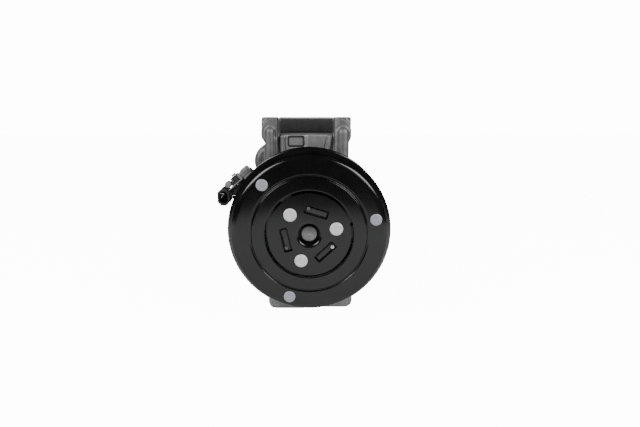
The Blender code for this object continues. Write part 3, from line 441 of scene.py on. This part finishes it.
def paint_look():
    look = Look("paint_look", grey(0.004), 0.14, IOR=1.5)
    dust = look.noise(45.0, 5.0)
    look.colour(dust, (0.35, grey(0.002)), (0.75, grey(0.005, (1.0, 1.0, 1.06))))
    look.roughness(look.noise(120.0, 4.0), 0.11, 0.19)
    look.bump(look.noise(700.0, 2.0), 0.006, 0.5)
    return look.material


def steel_look(name, value, low, high, metallic=0.9, pitch=0.0, x=0.0, height=0.0):
    look = Look(name, grey(value), low, metallic=metallic)
    look.colour(look.noise(220.0, 3.0), (0.3, grey(value * 0.82)), (0.7, grey(value * 1.1)))
    look.roughness(look.noise(700.0, 3.0), low, high)
    if pitch:
        look.bump(look.turning(x, height, pitch), 0.02, 0.6)
    else:
        look.bump(look.noise(1600.0, 2.0), 0.03, 0.4)
    return look.material


def rivet_look(name, tint):
    look = Look(name, grey(0.7, tint), 0.5, metallic=0.35)
    look.colour(look.noise(500.0, 3.0), (0.3, grey(0.62, tint)), (0.7, grey(0.74, tint)))
    look.roughness(look.noise(900.0, 2.0), 0.42, 0.6)
    look.bump(look.noise(1400.0, 2.0), 0.03, 0.5)
    return look.material


def plastic_look(name, value, low=0.38, high=0.52):
    look = Look(name, grey(value), low, IOR=1.5)
    look.colour(look.noise(260.0, 3.0), (0.3, grey(value * 0.8)), (0.7, grey(value * 1.2)))
    look.roughness(look.noise(500.0, 3.0), low, high)
    look.bump(look.spots(1400.0), 0.05, 0.4)
    return look.material


def rubber_look():
    look = Look("rubber_look", grey(0.014), 0.62, IOR=1.5)
    look.colour(look.noise(200.0, 4.0), (0.3, grey(0.010)), (0.7, grey(0.020)))
    look.bump(look.noise(1200.0, 3.0), 0.06, 0.5)
    return look.material


def warm_look(name, dark, light, roughness, stretch=None):
    """Copper or brass."""
    look = Look(name, light, roughness, metallic=0.9)
    look.colour(look.noise(500.0, 3.0, stretch), (0.3, dark), (0.7, light))
    look.bump(look.noise(900.0, 2.0, stretch), 0.06, 0.6)
    return look.material


CAST = cast_look()
MACHINED = machined_look()
PAINT = paint_look()
STEEL = steel_look("steel_look", 0.50, 0.28, 0.45)
DARK_STEEL = steel_look("dark_steel_look", 0.045, 0.35, 0.5, metallic=0.7)
SHAFT_FACE = steel_look("shaft_face_look", 0.24, 0.3, 0.42, pitch=0.55)
PLATED = steel_look("plated_look", 0.66, 0.3, 0.45, metallic=0.75)
SPRING = steel_look("spring_look", 0.07, 0.35, 0.5, metallic=0.7)
SLOT_BAR = steel_look("slot_bar_look", 0.035, 0.4, 0.55, metallic=0.3)
SLOT_STUD = steel_look("slot_stud_look", 0.10, 0.35, 0.5, metallic=0.5)
BRACKET = steel_look("bracket_look", 0.30, 0.35, 0.5, metallic=0.6)
TOOTH = plastic_look("clip_tooth_look", 0.24, 0.45, 0.6)
INNER_RIVET = rivet_look("inner_rivet_look", (1.0, 1.0, 0.995))
OUTER_RIVET = rivet_look("outer_rivet_look", (0.50, 0.51, 0.56))
PLASTIC = plastic_look("black_plastic_look", 0.022)
GREY_PLASTIC = plastic_look("grey_plastic_look", 0.50, 0.45, 0.6)
RUBBER = rubber_look()
COPPER = warm_look("copper_look", (0.36, 0.12, 0.05), (0.60, 0.24, 0.11), 0.35, (1.0, 20.0, 1.0))
BRASS = warm_look("brass_look", (0.42, 0.30, 0.11), (0.66, 0.50, 0.22), 0.32)

NODE_LOOKS = {
    "cast_aluminium": CAST,
    "machined_aluminium": MACHINED,
    "black_paint": PAINT,
    "bare_steel": STEEL,
    "plated_steel": PLATED,
    "rivet_metal": INNER_RIVET,
    "spring_steel": SPRING,
    "copper_winding": COPPER,
    "black_plastic": PLASTIC,
    "grey_plastic": GREY_PLASTIC,
    "black_rubber": RUBBER,
    "brass": BRASS,
}
for row in frame["record"]["subparts"]:
    node = frame["nodes"][row["node"]]
    node.data.materials.clear()
    node.data.materials.append(NODE_LOOKS[row["material_slot"]])


# Clutch


def rivet_cutters(circle, radius, front, back):
    return disc_ring("rivet_cutter", circle, RIVET_ANGLES, radius, front, back)


def slot_prisms(name, half_length, half_width, corner, front, back):
    """The same bar in each of the disc's three slots."""
    outline = rectangle((-half_length, half_length), (-half_width, half_width), corner)
    made = []
    for index, angle in enumerate(RIVET_ANGLES, 1):
        x, height = polar(SLOT_CIRCLE, angle + SLOT_LEAD)
        made.append(prism(f"{name}_{index}", outline, front, back, angle - SLOT_LEAN, x, height))
    return made


def make_cover():
    """The raised ring with the groove outside it, the flat face and the rolled edge."""
    profile = [
        (34.6, 2.2), (33.65, 1.8), (33.7, 1.5), (33.95, 1.4), (34.4, 1.4), (42.4, 1.4), (42.85, 1.41),
        (43.1, 1.48), (43.3, 1.65), (43.7, 2.4), (43.9, 2.8), (44.15, 2.98), (44.4, 3.02), (44.65, 2.96),
        (45.25, 2.51), (45.4, 2.43), (45.6, 2.4), (46.2, 2.4), (54.6, 2.4), (55.3, 2.43), (55.9, 2.52),
        (57.2, 2.86), (57.9, 3.14), (58.5, 3.5), (59.0, 4.0), (59.3, 4.6), (59.4, 5.2), (59.4, 6.6),
        (58.0, 6.6), (57.6, 4.0), (44.4, 4.0), (41.0, 2.6), (36.4, 2.6),
    ]
    cover = turned("clutch_cover", profile)
    combine(cover, cuts=rivet_cutters(OUTER_CIRCLE, OUTER_HOLE, 1.0, 5.0))
    show(cover, "armature", PAINT, "black_paint", "armature_cover", smooth_angle=50.0)


def make_plate():
    plate = turned("clutch_armature", [(34.0, 5.6), (57.2, 5.6), (57.2, 9.4), (34.0, 9.4)])
    holes = rivet_cutters(OUTER_CIRCLE, OUTER_HOLE, 5.0, 8.0)
    tail_seats = rivet_cutters(OUTER_CIRCLE, 3.9, 7.8, 10.0)
    combine(plate, cuts=holes + tail_seats)
    show(soften(plate, 0.25), "armature", STEEL, "bare_steel", "armature_plate")


def make_disc():
    """The disc in the middle, with a bar and a stud in each of its slots."""
    lip = [(DISC_BORE, 2.5), (8.25, 2.1), (8.55, 1.75), (8.95, 1.48), (9.4, 1.3), (9.9, 1.2), (10.4, 1.2)]
    rim = [(DISC_RADIUS, DISC_FRONT), (DISC_RADIUS, DISC_BACK), (DISC_BORE, DISC_BACK)]
    plate = turned("clutch_disc", lip + rim)
    cuts = rivet_cutters(INNER_CIRCLE, INNER_HOLE, 0.0, 5.0)
    cuts += slot_prisms("slot_cutter", 9.3, 3.2, 0.9, 0.0, 5.0)
    combine(plate, cuts=cuts)
    show(soften(plate, 0.12, angle=60.0), "shaft", PAINT, "black_paint", "hub_disc", smooth_angle=20.0)

    stud = [(0.0, 1.6), (0.9, 1.65), (1.3, 1.85), (1.5, 2.3), (1.5, 3.6), (0.0, 3.6)]
    bars = slot_prisms("slot_bar", 8.2, 1.9, 0.8, 2.7, 4.5)
    for index, (bar, angle) in enumerate(zip(bars, RIVET_ANGLES), 1):
        show(soften(bar, 0.3), "shaft", SLOT_BAR, "spring_steel")
        x, height = polar(20.0, angle + 78.5)
        # painted highlight: the third stud gets the bright plated look for the glint it shows, the other two
        # stay dark
        look = PLATED if index == 3 else SLOT_STUD
        show(turned(f"slot_stud_{index}", stud, STUD_SIDES, x, height), "shaft", look, "plated_steel")


def make_rivets(kind, circle, head, shank, tail, body, look):
    """Three rivets. The head and the tail are each a radius, a front depth and a back depth."""
    head_radius, front, under = head
    tail_radius, tail_front, tail_back = tail
    rise = under - front
    profile = [
        (0.0, front), (head_radius * 0.72, front + rise * 0.10), (head_radius * 0.88, front + rise * 0.28),
        (head_radius * 0.97, front + rise * 0.6), (head_radius, under), (shank, under), (shank, tail_front),
        (tail_radius, tail_front), (tail_radius, tail_back), (0.0, tail_back),
    ]
    for index, angle in enumerate(RIVET_ANGLES, 1):
        node = f"{kind}_rivet_{index}"
        rivet = turned(f"{node}_head", profile, RIVET_SIDES, *polar(circle, angle))
        show(rivet, body, look, "rivet_metal", node)


def make_hub():
    """The hub behind the disc, and the shaft's end in its bore."""
    profile = [
        (6.7, 9.0), (9.2, 9.0), (9.4, 5.6), (26.0, 5.6), (26.0, 8.6), (12.0, 8.6), (10.5, 10.0), (10.5, 18.5),
        (6.7, 18.5),
    ]
    hub = turned("clutch_hub", profile, MEDIUM)
    combine(hub, cuts=rivet_cutters(INNER_CIRCLE, INNER_HOLE, 4.6, 10.0))
    show(hub, "shaft", DARK_STEEL, "bare_steel", "hub")
    nose = [
        (0.0, 6.6), (0.55, 6.0), (1.1, 5.32), (1.25, 5.2), (4.9, 5.2), (5.8, 5.42), (6.25, 5.9), (6.42, 6.6),
        (6.42, 12.0), (0.0, 12.0),
    ]
    show(turned("shaft_nose", nose, MEDIUM), "shaft", SHAFT_FACE, "bare_steel")


def make_leaves():
    """Each leaf runs from the hub's rivet to the armature's, a third of a turn on."""
    start, end = Vector(polar(INNER_CIRCLE, 0.0)), Vector(polar(OUTER_CIRCLE, 120.0))
    along = end - start
    across = Vector((-along.y, along.x)).normalized() * LEAF_HALF
    heading = math.degrees(math.atan2(along.y, along.x))
    steps = 14
    outline = arc(LEAF_HALF, heading + 90, heading + 270, 12, *start)
    outline += [tuple(start + along * step / steps - across) for step in range(1, steps)]
    outline += arc(LEAF_HALF, heading - 90, heading + 90, 12, *end)
    outline += [tuple(start + along * step / steps + across) for step in range(steps - 1, 0, -1)]
    for index, angle in enumerate(RIVET_ANGLES, 1):
        leaf = prism(f"clutch_leaf_{index}", outline, 4.7, 5.3, turn=angle)
        places = (polar(INNER_CIRCLE, angle), polar(OUTER_CIRCLE, angle + 120.0))
        holes = [disc("leaf_hole", INNER_HOLE, 4.0, 6.0, x=x, height=height) for x, height in places]
        combine(leaf, cuts=holes)
        bring_in(leaf, SPRING)
        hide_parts(f"leaf_spring_{index}")
        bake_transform(leaf)


def make_pulley():
    """The rotor's face, the belt track between two flanges, and the hub round the bearing."""
    profile = [(26.4, 9.9), (60.7, 9.9), (60.8, 10.0), (62.9, 13.9), (FLANGE_RADIUS, 14.4), (63.1, 15.0)]
    for groove in range(RIBS):
        middle = BELT_FRONT + (groove + 0.5) * RIB_PITCH
        before, after = middle - RIB_PITCH / 2, middle + RIB_PITCH / 2
        if groove > 0:
            profile += [(CREST_RADIUS, before + 0.3), (CREST_RADIUS - 0.2, before + 0.42)]
        profile += [(VALLEY_RADIUS + 0.25, middle - 0.45), (VALLEY_RADIUS, middle - 0.2)]
        profile += [(VALLEY_RADIUS, middle + 0.2), (VALLEY_RADIUS + 0.25, middle + 0.45)]
        if groove < RIBS - 1:
            profile += [(CREST_RADIUS - 0.2, after - 0.42), (CREST_RADIUS, after - 0.3)]
    back = BELT_FRONT + 0.9 + RIBS * RIB_PITCH
    profile += [
        (63.1, back - 0.6), (FLANGE_RADIUS, back - 0.3), (63.0, back), (53.0, back), (53.0, 14.6),
        (31.4, 14.6), (31.4, 35.5), (27.8, 35.5), (27.8, 14.9), (26.4, 14.9),
    ]
    pulley = turned("belt_pulley", profile)
    slot = arc(40.5, -20.0, 20.0, 16) + arc(43.5, 20.0, -20.0, 16)
    combine(pulley, cuts=[prism("flux_cutter", slot, 8.9, 16.0, turn=angle) for angle in ring_of(6, 30.0)])
    show(pulley, "pulley", PAINT, "black_paint", "pulley", smooth_angle=38.0)


# Frame of the connector's bracket


def on_strip(along, out):
    """A point of the bracket's own frame, as (x, height): along the strip and outwards from it."""
    turn = math.radians(STRIP_TURN)
    x, height = STRIP_MIDDLE
    x += along * math.cos(turn) - out * math.sin(turn)
    height += along * math.sin(turn) + out * math.cos(turn)
    return x, height


def strip_prism(name, outline, front, back):
    """Extrude an outline of (along, out) pairs along the shaft."""
    return prism(name, outline, front, back, STRIP_TURN, *STRIP_MIDDLE)


def seat_turned(obj):
    """Move a piece turned about the upright line at (0, 0) onto the bracket screw's axis."""
    place = world(*on_strip(SCREW_ALONG, 0.0), SCREW_DEPTH)
    swing = Matrix.Translation(place) @ Matrix.Rotation(-math.radians(STRIP_TURN), 4, "Y")
    obj.data.transform(swing @ Matrix.Translation(-world(0.0, 0.0, 0.0)))
    return obj


# Castings


def ear(outer, inner, stem_outer):
    """An ear on its stem, and the cutter that rounds the ear's outer top corner at the front."""
    side = math.copysign(1.0, outer)
    solid = prism("ear", rounded([
        (inner, 40.0, 0.0), (inner, EAR_TOP, 0.0), (outer, EAR_TOP, 0.0), (outer, 70.0, 3.5),
        (stem_outer, 65.5, 0.0), (stem_outer, 40.0, 0.0),
    ]), 44.0, 68.0)
    x, height = outer - side * EAR_CORNER, EAR_TOP - EAR_CORNER
    corner = [(x + side * a, height + b) for a, b in arc(EAR_CORNER, 0.0, 90.0, 16)]
    corner += [(x, EAR_TOP + 1.0), (outer + side, EAR_TOP + 1.0), (outer + side, height)]
    return solid, prism("ear_corner", corner, 43.0, 48.5)


def column(x, radius, top=78.5):
    """A column with a domed top up the front of an ear."""
    dome = arc(radius, 90.0, 0.0, 8, height=top - radius)[1:]
    return upright("column", [(0.0, top), *dome, (radius, 41.0), (0.0, 41.0)], x=x, depth=44.4)


def bolt_cutters(front, back):
    return disc_ring("bolt_cutter", BOLT_CIRCLE, BOLT_ANGLES, BOLT_HOLE, front, back)


def saddle():
    """What fills the space between the ears, with the pad and the ribs on its front."""
    return [
        block("saddle", (-26.6, 21.6), (43.0, 72.3), (49.0, 78.7)),
        prism("saddle_pad", rectangle((-18.6, -2.8), (50.0, 72.3), 1.2), 47.4, 50.0),
        prism("left_rib", rectangle((-23.4, -20.8), (44.0, 71.8), 0.8), 46.0, 50.0),
        prism("right_rib", [(15.9, 71.6), (13.3, 56.0), (16.3, 56.0), (18.6, 71.6)], 46.4, 50.0),
    ]


def make_front_casting():
    section = [
        (12.6, 12.5), (16.4, 12.5), (17.2, 13.3), (17.2, 33.5), (19.0, 33.5), (19.0, 38.9), (30.0, 38.9),
        (33.0, 42.0), (52.0, 45.5), (57.0, 49.0), (57.0, 79.7), (36.0, 79.7), (36.0, 66.5), (26.3, 66.5),
        (26.3, 50.5), (11.1, 50.5), (11.1, 33.5), (8.3, 33.5), (8.3, 29.0), (12.6, 29.0),
    ]
    casting = turned("front_casting", section, 128)
    left, left_corner = ear(-38.7, -25.6, -35.6)
    right, right_corner = ear(33.9, 20.6, 31.8)
    combine(casting, [left, right], [left_corner, right_corner])

    shoulder = [(0.0, 51.5), (12.0, 51.5), (15.0, 54.5), (15.0, 79.1), (0.0, 79.1)]
    foot = [(-34.8, -76.0, 6.0), (36.9, -76.0, 6.0), (36.9, -40.0, 0.0), (-34.8, -40.0, 0.0)]
    adds = saddle() + [
        column(-31.4, 4.0),
        column(27.3, 4.7),
        column(-26.8, 1.2, 70.0),
        column(23.5, 1.1, 71.0),
        turned("shoulder", shoulder, MEDIUM, -30.5, 50.0),
        prism("foot", rounded(foot), 45.2, 68.0),
    ]
    adds += disc_ring("front_boss", BOLT_CIRCLE, BOLT_ANGLES[1:], BOLT_BOSS, 52.0, 79.1)
    adds.append(strip_prism("bracket_lug", rectangle((8.9, 17.0), (-10.0, 2.8)), 43.5, 62.0))
    cuts = [
        block("left_seam", (-28.4, -27.2), (50.0, 76.0), (42.0, 45.6)),
        block("right_seam", (24.0, 25.2), (50.0, 76.0), (42.0, 44.4)),
        prism("right_groove", [(13.6, 72.0), (11.0, 55.0), (13.0, 55.0), (15.4, 72.0)], 45.0, 50.2),
        block("foot_step", (-3.8, 45.0), (-80.0, -58.0), (40.0, 48.4)),
    ]
    cuts += [rod("ear_hole", MOUNT_HOLE, 88.0, 71.0, x=x, depth=FOOT_DEPTH) for x in EAR_HOLES]
    cuts += [rod("foot_hole", MOUNT_HOLE, -58.0, -78.0, x=x, depth=FOOT_DEPTH) for x in FOOT_HOLES]
    cuts.append(seat_turned(rod("lug_hole", SCREW_HOLE, 14.0, -8.0)))
    combine(casting, adds, cuts + bolt_cutters(61.0, 82.0))
    show(cast_skin(casting), "root", CAST, "cast_aluminium", "front_housing", smooth_angle=0.0)

    seal = prism("pad_seal", rectangle((-17.6, -3.8), (62.6, 71.4), 1.8), 47.0, 50.0)
    combine(seal, cuts=[prism("seal_inside", rectangle((-16.3, -5.1), (63.9, 70.1), 1.2), 46.0, 51.0)])
    show(soften(seal, 0.15), "root", RUBBER, "black_rubber")


def lobed_outline(radius, boss):
    """A circle that swells round each bolt."""
    outline = []
    for angle in ring_of(240, BOLT_ANGLES[0]):
        reach = radius
        for bolt_angle in BOLT_ANGLES:
            offset = math.radians(angle - bolt_angle)
            across = BOLT_CIRCLE * math.sin(offset)
            if abs(across) < boss and math.cos(offset) > 0:
                reach = max(reach, BOLT_CIRCLE * math.cos(offset) + math.sqrt(boss**2 - across**2))
        outline.append(polar(reach, angle))
    return outline


def make_centre_casting():
    casting = prism("centre_casting", lobed_outline(CASE_RADIUS, BOLT_BOSS), 80.0, 118.0)
    adds = [
        block("port_block", (-24.5, 20.0), (48.5, 71.2), (85.0, 116.0)),
        block("rear_foot", (-22.0, 22.0), (-76.0, -49.0), (99.0, 115.0)),
    ]
    for height in (-30.0, 0.0, 30.0):
        for side in (-1.0, 1.0):
            x = side * math.sqrt(CASE_RADIUS**2 - height**2)
            x_range = sorted((x - side * 1.2, x + side * 0.6))
            adds.append(block("case_rib", x_range, (height - 1.2, height + 1.2), (84.0, 114.0)))
    cuts = [disc("case_bore", 47.0, 78.0, 120.0, FINE), disc("ring_step", 49.4, 78.0, 81.3, FINE)]
    cuts += [rod("port_bore", radius, 73.2, 44.0, x=x, depth=PORT_DEPTH) for x, radius in PORTS]
    combine(casting, adds, cuts + bolt_cutters(78.0, 120.0))
    show(cast_skin(casting), "root", CAST, "cast_aluminium", "centre_housing", smooth_angle=0.0)


def make_rear_casting():
    casting = prism("rear_casting", lobed_outline(CASE_RADIUS, BOLT_BOSS), 118.3, 136.0)
    dome = [
        (0.0, 130.0), (47.0, 130.0), (47.0, 141.6), (46.2, 145.0), (44.2, 147.6), (41.0, 149.4),
        (37.0, 150.0), (0.0, 150.0),
    ]
    chamber = [(0.0, 116.3), (49.4, 116.3), (49.4, 119.6), (40.0, 119.6), (40.0, 139.0), (0.0, 139.0)]
    cuts = [turned("chamber", chamber), disc("relief_hole", 5.3, 137.5, 152.0, x=18.0, height=-12.0)]
    combine(casting, [turned("rear_dome", dome)], cuts + bolt_cutters(116.3, 138.0))
    show(cast_skin(casting), "root", CAST, "cast_aluminium", "rear_housing", smooth_angle=0.0)


def make_port_cover():
    """The shipping cover over the ports, with its plugs and grip ribs, and the cast frame behind it."""
    cover = prism("ports_cover", rectangle((-26.8, 22.2), (71.5, 84.4), 2.6), 83.5, 116.0)
    soften(cover, 1.8, 4, 50.0)
    adds = [rod("port_plug", radius - PLUG_GAP, 75.2, 65.2, x=x, depth=PORT_DEPTH) for x, radius in PORTS]
    for x in (-18.0, -10.0, -2.0, 6.0, 14.0):
        adds.append(block("cover_rib", (x - 0.6, x + 0.6), (74.0, 84.3), (115.0, 115.9)))
    combine(cover, adds)
    show(cover, "root", PLASTIC, "black_plastic", "port_cover", smooth_angle=35.0)
    rim = prism("ports_rim", rectangle((-27.7, 23.1), (71.4, 85.6), 3.2), 84.3, 84.9)
    show(soften(rim, 0.2), "root", CAST, "cast_aluminium")


# Connector


def make_connector_shell():
    chamfered = [
        (-5.1, -4.0), (-2.1, -7.0), (2.1, -7.0), (5.1, -4.0),
        (5.1, 4.0), (2.1, 7.0), (-2.1, 7.0), (-5.1, 4.0),
    ]
    shell = prism("connector_shell", chamfered, 41.6, 57.0, **CONNECTOR)
    rim = prism("connector_rim", [(a * 0.96, b * 0.97) for a, b in chamfered], 41.0, 43.0, **CONNECTOR)
    socket = prism("connector_socket", [(a * 0.68, b * 0.72) for a, b in chamfered], 40.0, 53.0, **CONNECTOR)
    slot = strip_prism("bracket_slot", rectangle((-7.3, 8.6), (-0.8, 0.8)), 42.2, 58.3)
    combine(shell, [rim], [socket, slot])
    blades = []
    for height in (-1.9, 1.9):
        blades.append(block("blade", (-0.4, 0.4), (height - 1.0, height + 1.0), (46.2, 54.0), **CONNECTOR))
    combine(shell, blades)
    show(soften(shell, 0.35), "root", PLASTIC, "black_plastic", "coil_connector")


def make_bracket():
    """The strip that carries the connector, the web below it and the screw at its raised end."""
    web = strip_prism("bracket_web", [
        (-6.4, -0.4), (8.4, -0.4), (8.4, -7.5), (-5.1, -7.7), (-8.7, -4.7), (-7.3, -3.4),
    ], 46.5, 48.0)
    show(soften(web, 0.2), "root", PLASTIC, "plated_steel")
    strip = strip_prism("bracket_strip", [
        (-7.0, -0.5), (8.6, -0.5), (8.6, 3.1), (17.0, 3.1), (17.0, 4.1), (7.6, 4.1), (7.6, 0.5), (-7.0, 0.5),
    ], 42.5, 58.0)
    combine(strip, cuts=[seat_turned(rod("bracket_bore", SCREW_HOLE, 12.0, -2.0))])
    show(soften(strip, 0.2), "root", BRACKET, "plated_steel", "connector_bracket")

    screw = upright("lug_screw", [
        (0.0, 6.35), (2.8, 6.3), (3.8, 6.0), (4.2, 5.2), (4.2, 4.4), (2.2, 4.4), (2.2, -5.0), (0.0, -5.0),
    ], RIVET_SIDES)
    combine(screw, cuts=[rod("screw_recess", 1.5, 7.0, 5.2, 6)])
    show(seat_turned(screw), "root", RUBBER, "black_plastic", "bracket_screw")


def make_clip():
    """The clip that holds the connector on its strip, and what shows round it."""
    clip = strip_prism("lead_clip", rounded([
        (-2.4, 0.3, 0.3), (7.2, 0.3, 0.3), (7.2, 6.4, 0.8),
        (1.6, 6.4, 0.8), (0.2, 3.0, 0.5), (-2.4, 2.0, 0.4),
    ]), 43.5, 52.0)
    notches = []
    for low in (2.2, 4.2):
        notches.append(strip_prism("clip_notch", rectangle((0.0, 2.4), (low, low + 0.7)), 43.0, 46.0))
    combine(clip, cuts=notches)
    show(soften(clip, 0.3), "root", PLASTIC, "black_plastic", "connector_clip")
    back = strip_prism("clip_back", rectangle((-3.0, 1.8), (0.4, 4.4), 0.6), 46.0, 50.5)
    show(soften(back, 0.3), "root", PLASTIC, "black_plastic")
    spacer = strip_prism("bracket_spacer", rectangle((6.4, 10.2), (0.4, 5.4), 1.0), 43.2, 49.0)
    show(soften(spacer, 0.4), "root", CAST, "cast_aluminium")
    boss = strip_prism("bracket_boss", rectangle((9.0, 18.2), (0.6, 5.7), 1.6), 43.0, 46.5)
    show(soften(boss, 0.4), "root", CAST, "cast_aluminium")

    teeth = ((-0.35, 1.55), (2.5, 6.1)), ((2.7, 5.7), (6.45, 7.95)), ((-0.2, 1.0), (1.1, 2.3))
    for index, (along_range, out_range) in enumerate(teeth, 1):
        tooth = strip_prism(f"clip_tooth_{index}", rectangle(along_range, out_range, 0.45), 44.0, 50.0)
        show(soften(tooth, 0.25), "root", TOOTH, "grey_plastic")


def make_small_fittings():
    """The lead's sleeve, the bracket's stud and the two contacts seen in the connector's socket."""
    tube = [
        (0.0, 43.0), (1.9, 43.0), (2.5, 43.3), (2.8, 43.9),
        (2.8, 49.4), (2.5, 49.9), (1.9, 50.0), (0.0, 50.0),
    ]
    sleeve = turned("connector_sleeve", tube, SMALL, -66.4, 31.7)
    show(sleeve, "root", TOOTH, "grey_plastic", "lead_sleeve")
    stud = [(0.0, 45.6), (0.5, 45.7), (0.8, 46.1), (0.8, 46.4), (0.0, 46.4)]
    show(turned("bracket_stud", stud, 20, *on_strip(1.4, -1.0)), "root", PLATED, "plated_steel")
    contacts = ((-73.2, 24.6), (-69.6, 24.0)), ((-72.2, 20.8), (-70.4, 23.2))
    for index, ((x0, z0), (x1, z1)) in enumerate(contacts, 1):
        outline = [(x0, z0), (x1, z1), (x1, z1 + 0.7), (x0, z0 + 0.7)]
        fork = prism(f"socket_fork_{index}", outline, 42.6, 44.4)
        show(soften(fork, 0.15), "root", PLATED, "plated_steel")


make_cover()
make_plate()
make_disc()
make_rivets("inner", INNER_CIRCLE, (5.0, 0.0, 0.9), 2.3, (3.6, 8.9, 10.1), "shaft", INNER_RIVET)
make_rivets("outer", OUTER_CIRCLE, (4.5, 1.15, 2.1), 2.0, (3.5, 8.1, 9.1), "armature", OUTER_RIVET)
make_hub()
make_leaves()
make_pulley()
make_front_casting()
make_centre_casting()
make_rear_casting()
make_port_cover()
make_connector_shell()
make_bracket()
make_clip()
make_small_fittings()

for helper in list(HELPERS.objects):
    bpy.data.objects.remove(helper, do_unlink=True)


# Stage, light and camera


MIDDLE = (0.0, -0.03, 0.08)  # where the softboxes aim
FLOOR_FRONT = -0.52
FLOOR_BACK = 3.0
FLOOR_SIDE = 3.0
FLOOR_DROP = 0.0002  # below the foot
FLOOR_GLOW = 13.0
FLOOR_FILL = 0.10
WORLD_SEEN = 14.0
WORLD_FILL = 0.045
SOFTBOX_ENERGY = 9.0
CAMERA_PLACE = (0.0, -0.432, 0.169)
CAMERA_PITCH = 11.5  # degrees down
WHITE = (1.0, 1.0, 1.0, 1.0)


def camera_light(nodes, links, elsewhere, seen):
    """A strength that is one number for what the camera sees and another for what lights the object."""
    path = nodes.new("ShaderNodeLightPath")
    strength = nodes.new("ShaderNodeMapRange")
    strength.inputs["To Min"].default_value = elsewhere
    strength.inputs["To Max"].default_value = seen
    links.new(path.outputs["Is Camera Ray"], strength.inputs["Value"])
    return strength.outputs[0]


def make_floor():
    """A pale floor that ends in front of the object, so that the clutch's upper half reflects dark."""
    solid = bmesh.new()
    corners = ((-1.0, FLOOR_FRONT), (1.0, FLOOR_FRONT), (1.0, FLOOR_BACK), (-1.0, FLOOR_BACK))
    solid.faces.new([solid.verts.new((side * FLOOR_SIDE, y, -FLOOR_DROP)) for side, y in corners])
    mesh = bpy.data.meshes.new("floor")
    solid.to_mesh(mesh)
    solid.free()
    floor = bpy.data.objects.new("floor", mesh)
    bpy.context.scene.collection.objects.link(floor)
    look = Look("floor_look", grey(0.9), 0.9, Emission_Color=WHITE)
    look.colour(look.noise(3.0, 2.0), (0.3, grey(0.89)), (0.7, grey(0.91)))
    seen = camera_light(look.nodes, look.links, FLOOR_FILL, FLOOR_GLOW)
    look.links.new(seen, look.shader.inputs["Emission Strength"])
    mesh.materials.append(look.material)


def make_softbox(name, place, size):
    light = bpy.data.lights.new(name, "AREA")
    light.shape = "RECTANGLE"
    light.size, light.size_y = size
    light.energy = SOFTBOX_ENERGY
    obj = bpy.data.objects.new(name, light)
    obj.location = place
    aim = Vector(MIDDLE) - Vector(place)
    obj.rotation_euler = aim.to_track_quat("-Z", "Y").to_euler()
    obj.visible_camera = False
    bpy.context.scene.collection.objects.link(obj)


def make_world():
    """White behind the object, and dimmer in what lights it."""
    made = bpy.data.worlds.new("studio")
    bpy.context.scene.world = made
    made.use_nodes = True
    nodes, links = made.node_tree.nodes, made.node_tree.links
    background = nodes["Background"]
    background.inputs["Color"].default_value = WHITE
    links.new(camera_light(nodes, links, WORLD_FILL, WORLD_SEEN), background.inputs["Strength"])


def make_camera():
    lens = bpy.data.cameras.new("camera")
    lens.lens = 29.08
    lens.sensor_width = 36.0
    lens.shift_x = 0.0169
    lens.clip_start = 0.01
    camera = bpy.data.objects.new("camera", lens)
    camera.location = CAMERA_PLACE
    camera.rotation_euler = (math.radians(90.0 - CAMERA_PITCH), 0.0, 0.0)
    bpy.context.scene.collection.objects.link(camera)
    bpy.context.scene.camera = camera


make_floor()
make_softbox("right_softbox", (0.64, -0.55, 0.62), (0.55, 0.55))
make_softbox("left_softbox", (-0.66, -0.55, 0.64), (0.60, 0.55))
make_world()
make_camera()
